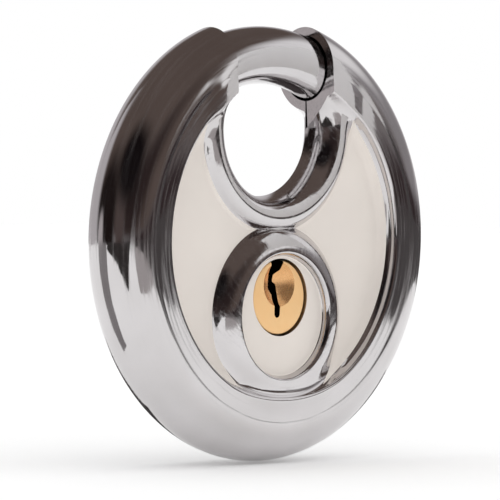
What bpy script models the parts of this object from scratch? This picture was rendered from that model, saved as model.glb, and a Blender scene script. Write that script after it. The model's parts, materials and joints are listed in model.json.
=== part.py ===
"""Disc padlock: two pressed steel shells, a curved bar that slides round inside their rim, and the pin
tumbler lock that drives it. Everything is modelled at rest, locked, upright, with the key slot facing -Y.

Lengths are in metres. Inside the script every piece is placed from the centre of the disc. The empty
"disc_centre" carries them all, and it sits so that the world origin is the middle of the bar's inner
side, where a staple bears.
"""

import math

import bmesh
import bpy
from mathutils import Matrix, Vector

# Bar (the shackle) and the round channel that it slides in
BAR_DIAMETER = 0.0090
BAR_PITCH_RADIUS = 0.0289
BAR_CLEARANCE = 0.0003
BAR_TIP_ANGLE = -34.0
BAR_TAIL_LENGTH = 0.0084
BAR_END_CHAMFER = 0.0010

# Pressed shells
SHEET = 0.0013
SEAM_GAP = 0.0003
FRONT_FLAT = 0.0036
REAR_FLAT = 0.0044

# Opening for the staple, a half circle below upright sides
OPENING_RADIUS = 0.0108
OPENING_RISE = 0.0175
LIP_RUN = 0.0034
LIP_FALL = 0.0030
LIP_CREST = 0.0053

# Raised boss round the key plug
BOSS_DROP = 0.0120
BOSS_FLAT = 0.0048
BOSS_RING_RADIUS = 0.0113
BOSS_RING_HALF_WIDTH = 0.0021
BOSS_RING_HEIGHT = 0.0026

# Rear housing over the driver
HOUSING_CORNER = 0.0024
HOUSING_MARGIN = 0.0004

# Lock cylinder
PLUG_DROP = 0.0091
PLUG_RADIUS = 0.0058
PLUG_FRONT = 0.0045
PLUG_REAR = 0.0048
RUN_GAP = 0.0003
BODY_WALL = 0.0015
BODY_FRONT = 0.0021
BODY_REAR = 0.0049
BIBLE_HALF_WIDTH = 0.0027
BIBLE_GAP = 0.0007
EAR_REACH = 0.0122
EAR_HALF_HEIGHT = 0.0024
EAR_FRONT = 0.0005
EAR_THICKNESS = 0.0018
LUG_HALF_WIDTH = 0.0010
LUG_HEIGHT = 0.0009

# Key slot and the scoop round it
SLOT_FLOOR = 0.0005
SLOT_TOP_WIDTH = 0.0024
SLOT_TOP_DEPTH = 0.0024
SLOT_WIDTH = 0.0011
SLOT_BEND = 0.0003
SLOT_DEPTH = 0.0089
SCOOP_RADIUS = 0.0036
SCOOP_DEPTH = 0.0008
SCOOP_RISE = 0.0022

# Pin stacks
PIN_COUNT = 3
PIN_RADIUS = 0.00065
PIN_GAP = 0.00025
PIN_PITCH = 0.00225
FIRST_PIN = -0.00085
KEY_PIN_LENGTHS = (0.0026, 0.0034, 0.0030)
DRIVER_PIN_LENGTH = 0.0030
CHAMBER_TOP = 0.0012
PIN_POINT = 0.0004
SPRING_WIRE = 0.00024
SPRING_TURNS = 5
SPRING_SEAT = 0.0003
PIN_END_GAP = 0.0001
STRIP_THICKNESS = 0.0007
STRIP_COVER = 0.0003
STRIP_HALF_WIDTH = 0.0016

# Plug tail, driver and drive pin
TAIL_RADIUS = 0.0026
TAIL_HALF_FLAT = 0.0019
TAIL_GROOVE_RADIUS = 0.0019
TAIL_END_LENGTH = 0.00055
CLIP_THICKNESS = 0.0005
CLIP_RADIUS = 0.0042
CLIP_MOUTH_ANGLE = 84.0
ARM_THICKNESS = 0.0018
ARM_GAP = 0.0002
ARM_LENGTH = 0.0186
ARM_HUB_RADIUS = 0.0068
ARM_TIP_RADIUS = 0.0026
ARM_NOTCH_FLOOR = 0.0055
PLUG_TURN = 90.0
DRIVE_PIN_RADIUS = 0.0015
DRIVE_PIN_HEAD = 0.0022
DRIVE_PIN_HEAD_THICKNESS = 0.0008
DRIVE_PIN_START = 0.0
SLOT_SIDE_GAP = 0.0003

# Plates, screws and guides inside
CARRIER_THICKNESS = 0.0012
PLATE_GAP = 0.0003
CARRIER_EDGE_GAP = 0.0007
DRILL_PLATE_THICKNESS = 0.0008
DRILL_PLATE_RADIUS = 0.0114
SCREW_OFFSET = 0.0102
SCREW_RADIUS = 0.0009
SCREW_HEAD_RADIUS = 0.0018
SCREW_HEAD = 0.0010
SCREW_SLOT = 0.0005
GUIDE_WIDTH = 0.0036
GUIDE_START = 50.0
GUIDE_END = 84.0

# Worked out from the sizes above
BAR_RADIUS = BAR_DIAMETER / 2
CHANNEL_RADIUS = BAR_RADIUS + BAR_CLEARANCE
TUBE_RADIUS = CHANNEL_RADIUS + SHEET
DISC_RADIUS = BAR_PITCH_RADIUS + TUBE_RADIUS
INNER_REACH = BAR_PITCH_RADIUS - BAR_RADIUS
LIP_CREST_RADIUS = OPENING_RADIUS + LIP_RUN
BORE_RADIUS = PLUG_RADIUS + RUN_GAP
BODY_RADIUS = BORE_RADIUS + BODY_WALL
CHAMBER_RADIUS = PIN_RADIUS + PIN_GAP
BIBLE_BOTTOM = INNER_REACH - BIBLE_GAP - RUN_GAP - PLUG_DROP
STRIP_BOTTOM = BIBLE_BOTTOM - STRIP_COVER
ARM_FRONT = BODY_REAR + ARM_GAP
ARM_REAR = ARM_FRONT + ARM_THICKNESS
GROOVE_FRONT = ARM_REAR + PIN_GAP
CLIP_FRONT = GROOVE_FRONT + PIN_GAP
GROOVE_REAR = CLIP_FRONT + CLIP_THICKNESS + PIN_GAP
TAIL_END = GROOVE_REAR + TAIL_END_LENGTH
HOUSING_TOP = TAIL_END + HOUSING_MARGIN + SHEET
HOUSING_RADIUS = ARM_LENGTH + ARM_TIP_RADIUS + HOUSING_MARGIN + SHEET
ARM_REST = -PLUG_TURN / 2
FLARE_SHEET = SHEET * math.sqrt(2)
CARRIER_RADIUS = INNER_REACH - CARRIER_EDGE_GAP
CARRIER_FRONT = FRONT_FLAT - SHEET - PLATE_GAP
CARRIER_REAR = CARRIER_FRONT - CARRIER_THICKNESS
DRILL_PLATE_FRONT = BOSS_FLAT - SHEET - PLATE_GAP
GUIDE_FRONT = CARRIER_REAR - PLATE_GAP
GUIDE_REAR = REAR_FLAT - SHEET - PLATE_GAP
SCREW_HEAD_FRONT = EAR_THICKNESS - EAR_FRONT + PLATE_GAP

# Fineness of the round shapes
RING_STEPS = 60
ROUND_STEPS = 40
SMALL_STEPS = 20
PIN_STEPS = 12
ARC_STEP = 15.0
BAR_STEP = 5.0
BAR_BEVEL_RESOLUTION = 6
COIL_STEPS = 10
WIRE_BEVEL_RESOLUTION = 1
SHARP_ANGLE = 35.0
TRIM = 0.0010
THROUGH = 0.0200

# How far each shape of a shell runs past the seam before it is trimmed there, all unlike, so that no two
# end faces lie in one plane
PAST_RIM = 0.0010
PAST_TUBE = 0.0012
PAST_LIP = 0.0014
PAST_BOSS = 0.0016
PAST_HOLLOW = 0.0010
PAST_FLARE = 0.0030

FRONT = Matrix.Rotation(math.radians(90), 4, "X")
REAR = Matrix.Rotation(math.radians(-90), 4, "X")
UPRIGHT = Matrix.Identity(4)


def clear_scene():
    for obj in list(bpy.data.objects):
        bpy.data.objects.remove(obj, do_unlink=True)


def new_collection(name):
    collection = bpy.data.collections.new(name)
    bpy.context.scene.collection.children.link(collection)
    return collection


def metal(name, colour, roughness):
    """A metal with the given base colour, one for each kind of piece."""
    material = bpy.data.materials.new(name)
    material.use_nodes = True
    shader = material.node_tree.nodes["Principled BSDF"]
    shader.inputs["Base Color"].default_value = (*colour, 1.0)
    shader.inputs["Metallic"].default_value = 1.0
    shader.inputs["Roughness"].default_value = roughness
    return material


def new_empty(name, parent, location):
    empty = bpy.data.objects.new(name, None)
    empty.parent = parent
    empty.location = location
    empty.empty_display_size = 0.005
    PARTS.objects.link(empty)
    return empty


def place(obj, parent, collection):
    """Hangs an object on its parent; a cutter shows as a wire and is left out of renders."""
    obj.parent = parent
    collection.objects.link(obj)
    if collection == CUTTERS:
        obj.hide_render = True
        obj.display_type = "WIRE"
    return obj


def ellipse_arc(centre, half_width, half_height, start, end):
    """Points on an ellipse, angles in degrees counted from +X towards +Y."""
    count = max(2, round(abs(end - start) / ARC_STEP))
    angles = [math.radians(start + (end - start) * i / count) for i in range(count + 1)]
    return [
        (centre[0] + half_width * math.cos(a), centre[1] + half_height * math.sin(a))
        for a in angles
    ]


def clock_arc(centre, radius, start, end):
    """Points on a circle, angles in degrees clockwise from the top, as seen from the front."""
    return ellipse_arc(centre, radius, radius, 90 - start, 90 - end)


def turned(name, profile, facing, parent, collection, centre=(0, 0), steps=ROUND_STEPS):
    """A profile of (radius, height) points turned about an axis through centre, which is (x, z)."""
    mesh = bpy.data.meshes.new(name)
    closed = profile[0][0] > 0 and profile[-1][0] > 0
    edges = [(i, i + 1) for i in range(len(profile) - 1)]
    if closed:
        edges.append((len(profile) - 1, 0))
    mesh.from_pydata([(r, 0, h) for r, h in profile], edges, [])
    obj = bpy.data.objects.new(name, mesh)
    screw = obj.modifiers.new("turn", "SCREW")
    screw.steps = steps
    screw.render_steps = steps
    screw.use_merge_vertices = True
    screw.merge_threshold = 0.000001
    screw.use_smooth_shade = True
    obj.matrix_basis = Matrix.Translation((centre[0], 0, centre[1])) @ facing
    return place(obj, parent, collection)


def rod(name, radius, low, high, facing, parent, collection, centre=(0, 0), steps=ROUND_STEPS):
    profile = [(0, high), (radius, high), (radius, low), (0, low)]
    return turned(name, profile, facing, parent, collection, centre, steps)


def block(name, low, high, parent, collection, widen=0.0):
    """A box between two corners; widen adds to its half width in X at its rear face."""
    shape = bmesh.new()
    bmesh.ops.create_cube(shape, size=1)
    size = Vector(high) - Vector(low)
    middle = (Vector(high) + Vector(low)) / 2
    bmesh.ops.scale(shape, vec=size, verts=shape.verts)
    bmesh.ops.translate(shape, vec=middle, verts=shape.verts)
    for vert in shape.verts:
        if vert.co.y > middle.y:
            vert.co.x += math.copysign(widen, vert.co.x - middle.x)
    mesh = bpy.data.meshes.new(name)
    shape.to_mesh(mesh)
    shape.free()
    return place(bpy.data.objects.new(name, mesh), parent, collection)


def flat_outline(name, outlines, front, rear, parent, collection):
    """A plate from front to rear in Y. Outlines are (x, z) points, the first outside and the rest holes."""
    curve = bpy.data.curves.new(name, "CURVE")
    curve.dimensions = "2D"
    curve.fill_mode = "BOTH"
    curve.extrude = (rear - front) / 2
    for outline in outlines:
        spline = curve.splines.new("POLY")
        spline.points.add(len(outline) - 1)
        for point, (x, z) in zip(spline.points, outline):
            point.co = (x, z, 0, 1)
        spline.use_cyclic_u = True
    guide = bpy.data.objects.new(name + "_outline", curve)
    bpy.context.scene.collection.objects.link(guide)
    mesh = mesh_of(guide)
    mesh.transform(Matrix.Translation((0, (front + rear) / 2, 0)) @ FRONT)
    bpy.data.objects.remove(guide)
    return place(bpy.data.objects.new(name, mesh), parent, collection)


def mesh_of(obj):
    """The evaluated mesh of an object, welded and with its faces turned out."""
    bpy.context.view_layer.update()
    graph = bpy.context.evaluated_depsgraph_get()
    mesh = bpy.data.meshes.new_from_object(obj.evaluated_get(graph))
    shape = bmesh.new()
    shape.from_mesh(mesh)
    bmesh.ops.remove_doubles(shape, verts=shape.verts, dist=0.000001)
    bmesh.ops.recalc_face_normals(shape, faces=shape.faces)
    shape.to_mesh(mesh)
    shape.free()
    return mesh


def tube_along(name, points, radius, bevel_resolution, parent, collection, end_scale=1.0):
    """A round tube with filled caps through the points, its two end points narrowed by end_scale."""
    curve = bpy.data.curves.new(name, "CURVE")
    curve.dimensions = "3D"
    curve.bevel_depth = radius
    curve.bevel_resolution = bevel_resolution
    curve.use_fill_caps = True
    spline = curve.splines.new("POLY")
    spline.points.add(len(points) - 1)
    for point, place_of in zip(spline.points, points):
        point.co = (*place_of, 1)
    spline.points[0].radius = end_scale
    spline.points[-1].radius = end_scale
    guide = bpy.data.objects.new(name + "_path", curve)
    bpy.context.scene.collection.objects.link(guide)
    mesh = mesh_of(guide)
    bpy.data.objects.remove(guide)
    return place(bpy.data.objects.new(name, mesh), parent, collection)


def swept_opening(name, section, top, parent, collection):
    """A closed section of (radius, height) points swept down one side of the opening, round its lower
    half and up the other side, ending at the height top."""
    shape = bmesh.new()
    loop = [shape.verts.new((r, -h, top)) for r, h in section]
    edges = [shape.edges.new((a, b)) for a, b in zip(loop, loop[1:] + loop[:1])]
    rise = Vector((0, 0, top - OPENING_RISE))
    edges = extruded(shape, edges, -rise)
    turn = bmesh.ops.spin(
        shape, geom=edges, cent=(0, 0, OPENING_RISE), axis=(0, 1, 0), dvec=(0, 0, 0),
        angle=math.pi, steps=ROUND_STEPS // 2,
    )
    edges = [item for item in turn["geom_last"] if isinstance(item, bmesh.types.BMEdge)]
    extruded(shape, edges, rise)
    bmesh.ops.holes_fill(shape, edges=[e for e in shape.edges if e.is_boundary])
    bmesh.ops.recalc_face_normals(shape, faces=shape.faces)
    for face in shape.faces:
        face.smooth = len(face.verts) == 4
    mesh = bpy.data.meshes.new(name)
    shape.to_mesh(mesh)
    shape.free()
    return place(bpy.data.objects.new(name, mesh), parent, collection)


def extruded(shape, edges, move):
    made = bmesh.ops.extrude_edge_only(shape, edges=edges)["geom"]
    verts = [item for item in made if isinstance(item, bmesh.types.BMVert)]
    bmesh.ops.translate(shape, vec=move, verts=verts)
    return [item for item in made if isinstance(item, bmesh.types.BMEdge)]


def swing(obj, angle):
    """Turns an object clockwise, as seen from the front, about its parent's Y axis."""
    obj.matrix_basis = Matrix.Rotation(math.radians(angle), 4, "Y") @ obj.matrix_basis


def combine(obj, operation, *tools):
    for tool in tools:
        modifier = obj.modifiers.new(tool.name, "BOOLEAN")
        modifier.operation = operation
        modifier.object = tool
        modifier.solver = "EXACT"
    return obj


def finish(obj, material):
    """Bakes the modifiers, so that the round faces can be shaded smooth up to the sharp edges."""
    mesh = mesh_of(obj)
    obj.modifiers.clear()
    obj.data = mesh
    mesh.materials.clear()
    mesh.materials.append(material)
    mesh.shade_smooth()
    mesh.set_sharp_from_angle(angle=math.radians(SHARP_ANGLE))
    return obj


# Outlines and profiles

def clock_point(radius, angle):
    """The point (x, z) at a clockwise angle from the top."""
    return (radius * math.sin(math.radians(angle)), radius * math.cos(math.radians(angle)))


def past(base, inset):
    """The height of a shape's end face past the seam; a hollow's lies below a solid's."""
    return -(base + (PAST_HOLLOW if inset else 0))


def rim_profile(inset):
    """Half of a disc's section: a flat middle, then the round tube of the rim, down past the seam."""
    flat = FRONT_FLAT - inset
    tube = TUBE_RADIUS - inset
    low = past(PAST_RIM, inset)
    foot = 180 - math.degrees(math.asin(flat / tube))
    arc = ellipse_arc((BAR_PITCH_RADIUS, 0), tube, tube, foot, 0)
    return [(0, flat), *arc, (BAR_PITCH_RADIUS + tube, low), (0, low)]


def disc_profile(inset):
    """The rear's flat middle alone, out to the centre line of the bar."""
    height = REAR_FLAT - inset
    low = past(PAST_RIM, inset)
    return [(0, height), (BAR_PITCH_RADIUS, height), (BAR_PITCH_RADIUS, low), (0, low)]


def tube_profile(inset):
    """The section of the rim's tube alone, from the seam up."""
    tube = TUBE_RADIUS - inset
    low = past(PAST_TUBE, inset)
    arc = ellipse_arc((BAR_PITCH_RADIUS, 0), tube, tube, 180, 0)
    return [*arc, (BAR_PITCH_RADIUS + tube, low), (BAR_PITCH_RADIUS - tube, low)]


def lip_section(inset):
    """The bulge round the opening: a steep side to the lip and a shorter fall to the flat."""
    crest = LIP_CREST - inset
    low = past(PAST_LIP, inset)
    inner = ellipse_arc((LIP_CREST_RADIUS, 0), LIP_RUN - inset, crest, 180, 90)
    outer = ellipse_arc((LIP_CREST_RADIUS, 0), LIP_FALL - inset, crest, 90, 0)
    low_in = (LIP_CREST_RADIUS - LIP_RUN + inset, low)
    low_out = (LIP_CREST_RADIUS + LIP_FALL - inset, low)
    return [low_in, *inner, *outer[1:], low_out]


def boss_profile(inset):
    """The boss: a sunk flat in the middle and a round ring about it."""
    flat = BOSS_FLAT - inset
    rise = (BOSS_FLAT - FRONT_FLAT) / BOSS_RING_HEIGHT
    start = 180 - math.degrees(math.asin(rise))
    centre = (BOSS_RING_RADIUS, FRONT_FLAT - inset)
    arc = ellipse_arc(centre, BOSS_RING_HALF_WIDTH - inset, BOSS_RING_HEIGHT, start, 0)
    edge = BOSS_RING_RADIUS + BOSS_RING_HALF_WIDTH - inset
    low = past(PAST_BOSS, inset)
    return [(0, flat), *arc, (edge, low), (0, low)]


def housing_profile(inset):
    """The raised rear housing, with a round corner."""
    radius = HOUSING_RADIUS - inset
    top = HOUSING_TOP - inset
    corner = HOUSING_CORNER - inset
    low = past(PAST_BOSS, inset)
    arc = ellipse_arc((radius - corner, top - corner), corner, corner, 90, 0)
    return [(0, top), *arc, (radius, low), (0, low)]


def flare_profile(lip):
    """A cone that widens at 45 degrees towards the rear."""
    low, high = -PAST_FLARE, THROUGH
    return [(0, high), (lip + high, high), (lip + low, low), (0, low)]


def opening_outline():
    top = DISC_RADIUS + TRIM
    arc = clock_arc((0, OPENING_RISE), OPENING_RADIUS, 90, 270)
    return [(OPENING_RADIUS, top), *arc, (-OPENING_RADIUS, top)]


def carrier_outline():
    """A disc with a round bite out of its top, which clears the opening."""
    bite = LIP_CREST_RADIUS + LIP_FALL
    rise = (CARRIER_RADIUS**2 - bite**2 + OPENING_RISE**2) / (2 * OPENING_RISE)
    across = math.sqrt(CARRIER_RADIUS**2 - rise**2)
    angle = math.degrees(math.atan2(across, rise))
    bite_angle = math.degrees(math.atan2(across, rise - OPENING_RISE))
    around = clock_arc((0, 0), CARRIER_RADIUS, angle, 360 - angle)
    back = clock_arc((0, OPENING_RISE), bite, 360 - bite_angle, bite_angle)
    return around + back[1:-1]


def flatted_circle(radius, half_flat):
    """A circle with two flats, at the left and the right."""
    half = math.degrees(math.acos(half_flat / radius))
    right = clock_arc((0, 0), radius, 90 + half, 270 - half)
    left = clock_arc((0, 0), radius, 270 + half, 450 - half)
    return right + left


def arm_outline():
    """The driver pointing down: a hub with a notch at its top, and a round tip."""
    lug_angle = math.degrees(math.asin(LUG_HALF_WIDTH / ARM_HUB_RADIUS))
    gap_angle = math.degrees(RUN_GAP / ARM_HUB_RADIUS)
    notch = PLUG_TURN / 2 + lug_angle + gap_angle
    lean = math.degrees(math.asin((ARM_HUB_RADIUS - ARM_TIP_RADIUS) / ARM_LENGTH))
    right = clock_arc((0, 0), ARM_HUB_RADIUS, notch, 90 + lean)
    tip = clock_arc((0, -ARM_LENGTH), ARM_TIP_RADIUS, 90 + lean, 270 - lean)
    left = clock_arc((0, 0), ARM_HUB_RADIUS, 270 - lean, 360 - notch)
    floor = clock_arc((0, 0), ARM_NOTCH_FLOOR, 360 - notch, 360 + notch)
    return right + tip + left + floor


def ring_outline(inner, outer, start, end, centre=(0, 0)):
    """A piece of a flat ring between two clockwise angles."""
    return clock_arc(centre, outer, start, end) + clock_arc(centre, inner, end, start)


# Shells

def front_shell():
    shell = turned("front_shell", rim_profile(0), FRONT, DISC, PARTS, steps=RING_STEPS)
    bulge = swept_opening("lip_bulge", lip_section(0), INNER_REACH, DISC, CUTTERS)
    boss_centre = (0, -BOSS_DROP)
    boss = turned("boss", boss_profile(0), FRONT, DISC, CUTTERS, boss_centre)
    combine(shell, "UNION", bulge, boss)
    hollows = (
        turned("front_hollow", rim_profile(SHEET), FRONT, DISC, CUTTERS, steps=RING_STEPS),
        swept_opening("lip_hollow", lip_section(SHEET), INNER_REACH, DISC, CUTTERS),
        turned("boss_hollow", boss_profile(SHEET), FRONT, DISC, CUTTERS, boss_centre),
    )
    combine(shell, "DIFFERENCE", *hollows)
    combine(shell, "DIFFERENCE", opening_cutter("front_opening"), seam_cutter("front_seam", 1))
    hole = rod("plug_hole", BORE_RADIUS, 0, THROUGH, FRONT, DISC, CUTTERS, (0, -PLUG_DROP))
    combine(shell, "DIFFERENCE", hole)
    return finish(shell, STEEL)


def rear_shell():
    """The rear half has the same tube, a countersunk opening and a housing over the driver."""
    plug_centre = (0, -PLUG_DROP)
    shell = turned("rear_shell", disc_profile(0), REAR, DISC, PARTS)
    housing = turned("housing", housing_profile(0), REAR, DISC, CUTTERS, plug_centre)
    combine(shell, "UNION", housing)
    combine(shell, "DIFFERENCE", *flare_cutters("flare", OPENING_RADIUS))
    tube = turned("rear_tube", tube_profile(0), REAR, DISC, CUTTERS, steps=RING_STEPS)
    combine(shell, "UNION", tube)
    combine(shell, "DIFFERENCE", seam_cutter("rear_seam", -1))
    hollow = turned("rear_hollow", disc_profile(SHEET), REAR, DISC, CUTTERS)
    inside = turned("housing_hollow", housing_profile(SHEET), REAR, DISC, CUTTERS, plug_centre)
    combine(hollow, "UNION", inside)
    combine(hollow, "DIFFERENCE", *flare_cutters("flare_wall", OPENING_RADIUS + FLARE_SHEET))
    channel = turned("channel", tube_profile(SHEET), REAR, DISC, CUTTERS, steps=RING_STEPS)
    combine(shell, "DIFFERENCE", hollow, channel, opening_cutter("rear_opening"))
    return finish(shell, STEEL)


def opening_cutter(name):
    return flat_outline(name, [opening_outline()], -THROUGH, THROUGH, DISC, CUTTERS)


def seam_cutter(name, side):
    """Takes away all that lies past the seam, on the rear side (1) or on the front side (-1)."""
    reach = DISC_RADIUS + TRIM
    ends = sorted((-side * SEAM_GAP / 2, side * THROUGH))
    return block(name, (-reach, ends[0], -reach), (reach, ends[1], reach), DISC, CUTTERS)


def flare_cutters(name, lip):
    """The countersink: a cone round the lower half of the opening and a wedge between its sides."""
    centre = (0, OPENING_RISE)
    cone = turned(name + "_cone", flare_profile(lip), REAR, DISC, CUTTERS, centre)
    start = PAST_FLARE + TRIM
    half = lip - start
    low = (-half, -start, OPENING_RISE)
    high = (half, THROUGH, BAR_PITCH_RADIUS)
    wedge = block(name + "_wedge", low, high, DISC, CUTTERS, THROUGH + start)
    return cone, wedge


# The bar

def drive_angles():
    """Clockwise angles from the top, about the disc's centre, of the drive pin at rest and when open."""
    half = math.radians(PLUG_TURN / 2)
    swing = math.degrees(
        math.atan2(ARM_LENGTH * math.sin(half), PLUG_DROP + ARM_LENGTH * math.cos(half))
    )
    return 180 - swing, 180 + swing


def shackle():
    """The curved bar, with a slot in its tail for the drive pin."""
    rest, _ = drive_angles()
    tail = rest + math.degrees(BAR_TAIL_LENGTH / BAR_PITCH_RADIUS)
    lead = math.degrees(BAR_END_CHAMFER / BAR_PITCH_RADIUS)
    count = round((tail - BAR_TIP_ANGLE) / BAR_STEP)
    first = BAR_TIP_ANGLE + lead
    between = [first + (tail - lead - first) * i / count for i in range(count + 1)]
    angles = [BAR_TIP_ANGLE, *between, tail]
    points = []
    for angle in angles:
        x, z = clock_point(BAR_PITCH_RADIUS, angle)
        points.append((x, 0, z))
    end_scale = (BAR_RADIUS - BAR_END_CHAMFER) / BAR_RADIUS
    bar = tube_along("shackle", points, BAR_RADIUS, BAR_BEVEL_RESOLUTION, DISC, PARTS, end_scale)
    half = DRIVE_PIN_RADIUS + SLOT_SIDE_GAP
    far = PLUG_DROP + ARM_LENGTH
    depth = DRIVE_PIN_START - SLOT_SIDE_GAP
    low = (-half, depth, INNER_REACH - BAR_RADIUS)
    slot = block("bar_slot", low, (half, BAR_DIAMETER, far), DISC, CUTTERS)
    end = rod("bar_slot_end", half, depth, BAR_DIAMETER, REAR, DISC, CUTTERS, (0, far))
    for tool in (slot, end):
        swing(tool, rest)
    combine(bar, "DIFFERENCE", slot, end)
    return finish(bar, BAR_STEEL)


# The lock cylinder. These pieces are placed from the plug's own axis.

def pin_places():
    return [FIRST_PIN + PIN_PITCH * i for i in range(PIN_COUNT)]


def pin_holes(name, parent):
    """A row of holes below the plug's middle, one for each pin stack."""
    holes = []
    for number, y in enumerate(pin_places(), 1):
        hole = rod(
            f"{name}_{number}", CHAMBER_RADIUS, -THROUGH, -CHAMBER_TOP, UPRIGHT, parent, CUTTERS,
            steps=PIN_STEPS,
        )
        hole.location.y = y
        holes.append(hole)
    return holes


def screw_holes(name):
    """A hole each side of the plug for the screws that hold the cylinder."""
    return [
        rod(
            f"{name}_{side}", SCREW_RADIUS + RUN_GAP, -THROUGH, THROUGH, FRONT, BARREL, CUTTERS,
            (side * SCREW_OFFSET, 0), PIN_STEPS,
        )
        for side in (-1, 1)
    ]


def cylinder_body():
    """The barrel round the plug, the block that holds the driver pins, two ears and a stop lug."""
    body = rod("cylinder_body", BODY_RADIUS, -BODY_REAR, BODY_FRONT, FRONT, BARREL, PARTS)
    low = (-BIBLE_HALF_WIDTH, -BODY_FRONT, -BIBLE_BOTTOM)
    high = (BIBLE_HALF_WIDTH, BODY_REAR, -BORE_RADIUS)
    bible = block("pin_block", low, high, BARREL, CUTTERS)
    ears = block(
        "ears", (-EAR_REACH, -EAR_FRONT, -EAR_HALF_HEIGHT),
        (EAR_REACH, EAR_THICKNESS - EAR_FRONT, EAR_HALF_HEIGHT), BARREL, CUTTERS,
    )
    lug = block(
        "stop_lug", (-LUG_HALF_WIDTH, 0, BORE_RADIUS),
        (LUG_HALF_WIDTH, ARM_REAR - PLATE_GAP, BORE_RADIUS + LUG_HEIGHT), BARREL, CUTTERS,
    )
    combine(body, "UNION", bible, ears, lug)
    bore = rod("body_bore", BORE_RADIUS, -THROUGH, THROUGH, FRONT, BARREL, CUTTERS)
    combine(body, "DIFFERENCE", bore, *pin_holes("driver_chamber", BARREL))
    pocket = STRIP_HALF_WIDTH + PIN_GAP
    low = (-pocket, -BODY_FRONT - TRIM, -THROUGH)
    high = (pocket, BODY_REAR + TRIM, -(STRIP_BOTTOM - STRIP_THICKNESS))
    combine(body, "DIFFERENCE", block("strip_pocket", low, high, BARREL, CUTTERS))
    combine(body, "DIFFERENCE", *screw_holes("ear_hole"))
    return finish(body, BRASS)


def plug():
    """The key plug, with its slot, scoop and pin holes, and a tail that carries the driver."""
    profile = [
        (0, PLUG_FRONT), (PLUG_RADIUS, PLUG_FRONT), (PLUG_RADIUS, -PLUG_REAR), (TAIL_RADIUS, -PLUG_REAR),
        (TAIL_RADIUS, -GROOVE_FRONT), (TAIL_GROOVE_RADIUS, -GROOVE_FRONT),
        (TAIL_GROOVE_RADIUS, -GROOVE_REAR), (TAIL_RADIUS, -GROOVE_REAR),
        (TAIL_RADIUS, -TAIL_END), (0, -TAIL_END),
    ]
    piece = turned("plug", profile, FRONT, PLUG_AXIS, PARTS)
    combine(piece, "DIFFERENCE", *slot_cutters(), scoop_cutter(), *tail_flats())
    combine(piece, "DIFFERENCE", *pin_holes("key_pin_hole", PLUG_AXIS))
    return finish(piece, BRASS)


def slot_cutters():
    """The key slot, broad at the plug's top and stepped below."""
    rear = PLUG_REAR - SLOT_FLOOR
    shoulder = PLUG_RADIUS - SLOT_TOP_DEPTH
    knee = PLUG_RADIUS - (SLOT_TOP_DEPTH + SLOT_DEPTH) / 2
    half = SLOT_WIDTH / 2
    front = -PLUG_FRONT - TRIM
    spans = {
        "slot_top": (0, SLOT_TOP_WIDTH / 2, shoulder, PLUG_RADIUS + TRIM),
        "slot_middle": (-SLOT_BEND, half, knee, shoulder + TRIM),
        "slot_foot": (SLOT_BEND, half, PLUG_RADIUS - SLOT_DEPTH, knee + half),
    }
    return [
        block(name, (x - across, front, low), (x + across, rear, high), PLUG_AXIS, CUTTERS)
        for name, (x, across, low, high) in spans.items()
    ]


def scoop_cutter():
    """A shallow bowl round the upper part of the slot."""
    ball = (SCOOP_RADIUS**2 + SCOOP_DEPTH**2) / (2 * SCOOP_DEPTH)
    middle = PLUG_FRONT - SCOOP_DEPTH + ball
    bowl = [(r, middle + h) for r, h in ellipse_arc((0, 0), ball, ball, 90, -90)]
    return turned("scoop", bowl, FRONT, PLUG_AXIS, CUTTERS, (0, SCOOP_RISE))


def tail_flats():
    """The two flats that turn the driver, set at the driver's rest angle."""
    flats = []
    for side in (-1, 1):
        near, far = sorted((side * TAIL_HALF_FLAT, side * PLUG_RADIUS))
        low = (near, PLUG_REAR, -PLUG_RADIUS)
        high = (far, GROOVE_FRONT, PLUG_RADIUS)
        flats.append(block(f"tail_flat_{side}", low, high, PLUG_AXIS, CUTTERS))
        swing(flats[-1], ARM_REST)
    return flats


def pin_stack(number, y, key_length):
    """A key pin, a driver pin below it and the spring under that, parted at the edge of the plug."""
    key_low = -(PLUG_RADIUS - PIN_END_GAP)
    profile = [
        (0, key_length), (PIN_RADIUS - PIN_POINT, key_length), (PIN_RADIUS, key_length - PIN_POINT),
        (PIN_RADIUS, 0), (0, 0),
    ]
    key_pin = turned(f"key_pin_{number}", profile, UPRIGHT, PLUG_AXIS, PARTS, steps=PIN_STEPS)
    key_pin.location = (0, y, key_low)
    driver_top = -(BORE_RADIUS + PIN_END_GAP)
    driver = rod(
        f"driver_pin_{number}", PIN_RADIUS, -DRIVER_PIN_LENGTH, 0, UPRIGHT, BARREL, PARTS, steps=PIN_STEPS
    )
    driver.location = (0, y, driver_top)
    top = driver_top - DRIVER_PIN_LENGTH - SPRING_SEAT
    bottom = -(STRIP_BOTTOM - STRIP_THICKNESS) + SPRING_SEAT
    spring = coil(f"pin_spring_{number}", y, bottom, top)
    return finish(key_pin, BRASS), finish(driver, BRASS), finish(spring, SPRING_STEEL)


def coil(name, y, bottom, top):
    """A compression spring between two heights, as one helix of round wire."""
    wire = SPRING_WIRE / 2
    radius = PIN_RADIUS - wire
    steps = COIL_STEPS * SPRING_TURNS
    points = []
    for i in range(steps + 1):
        angle = 2 * math.pi * i / COIL_STEPS
        height = bottom + wire + (top - bottom - 2 * wire) * i / steps
        points.append((radius * math.cos(angle), y + radius * math.sin(angle), height))
    return tube_along(name, points, wire, WIRE_BEVEL_RESOLUTION, BARREL, PARTS)


def chamber_strip():
    """The strip that closes the spring chambers from below."""
    top = -(STRIP_BOTTOM - STRIP_THICKNESS) - PIN_GAP / 2
    low = (-STRIP_HALF_WIDTH, -BODY_FRONT + PIN_GAP, -STRIP_BOTTOM)
    high = (STRIP_HALF_WIDTH, BODY_REAR - PIN_GAP, top)
    return finish(block("chamber_strip", low, high, BARREL, PARTS), BRASS)


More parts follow.
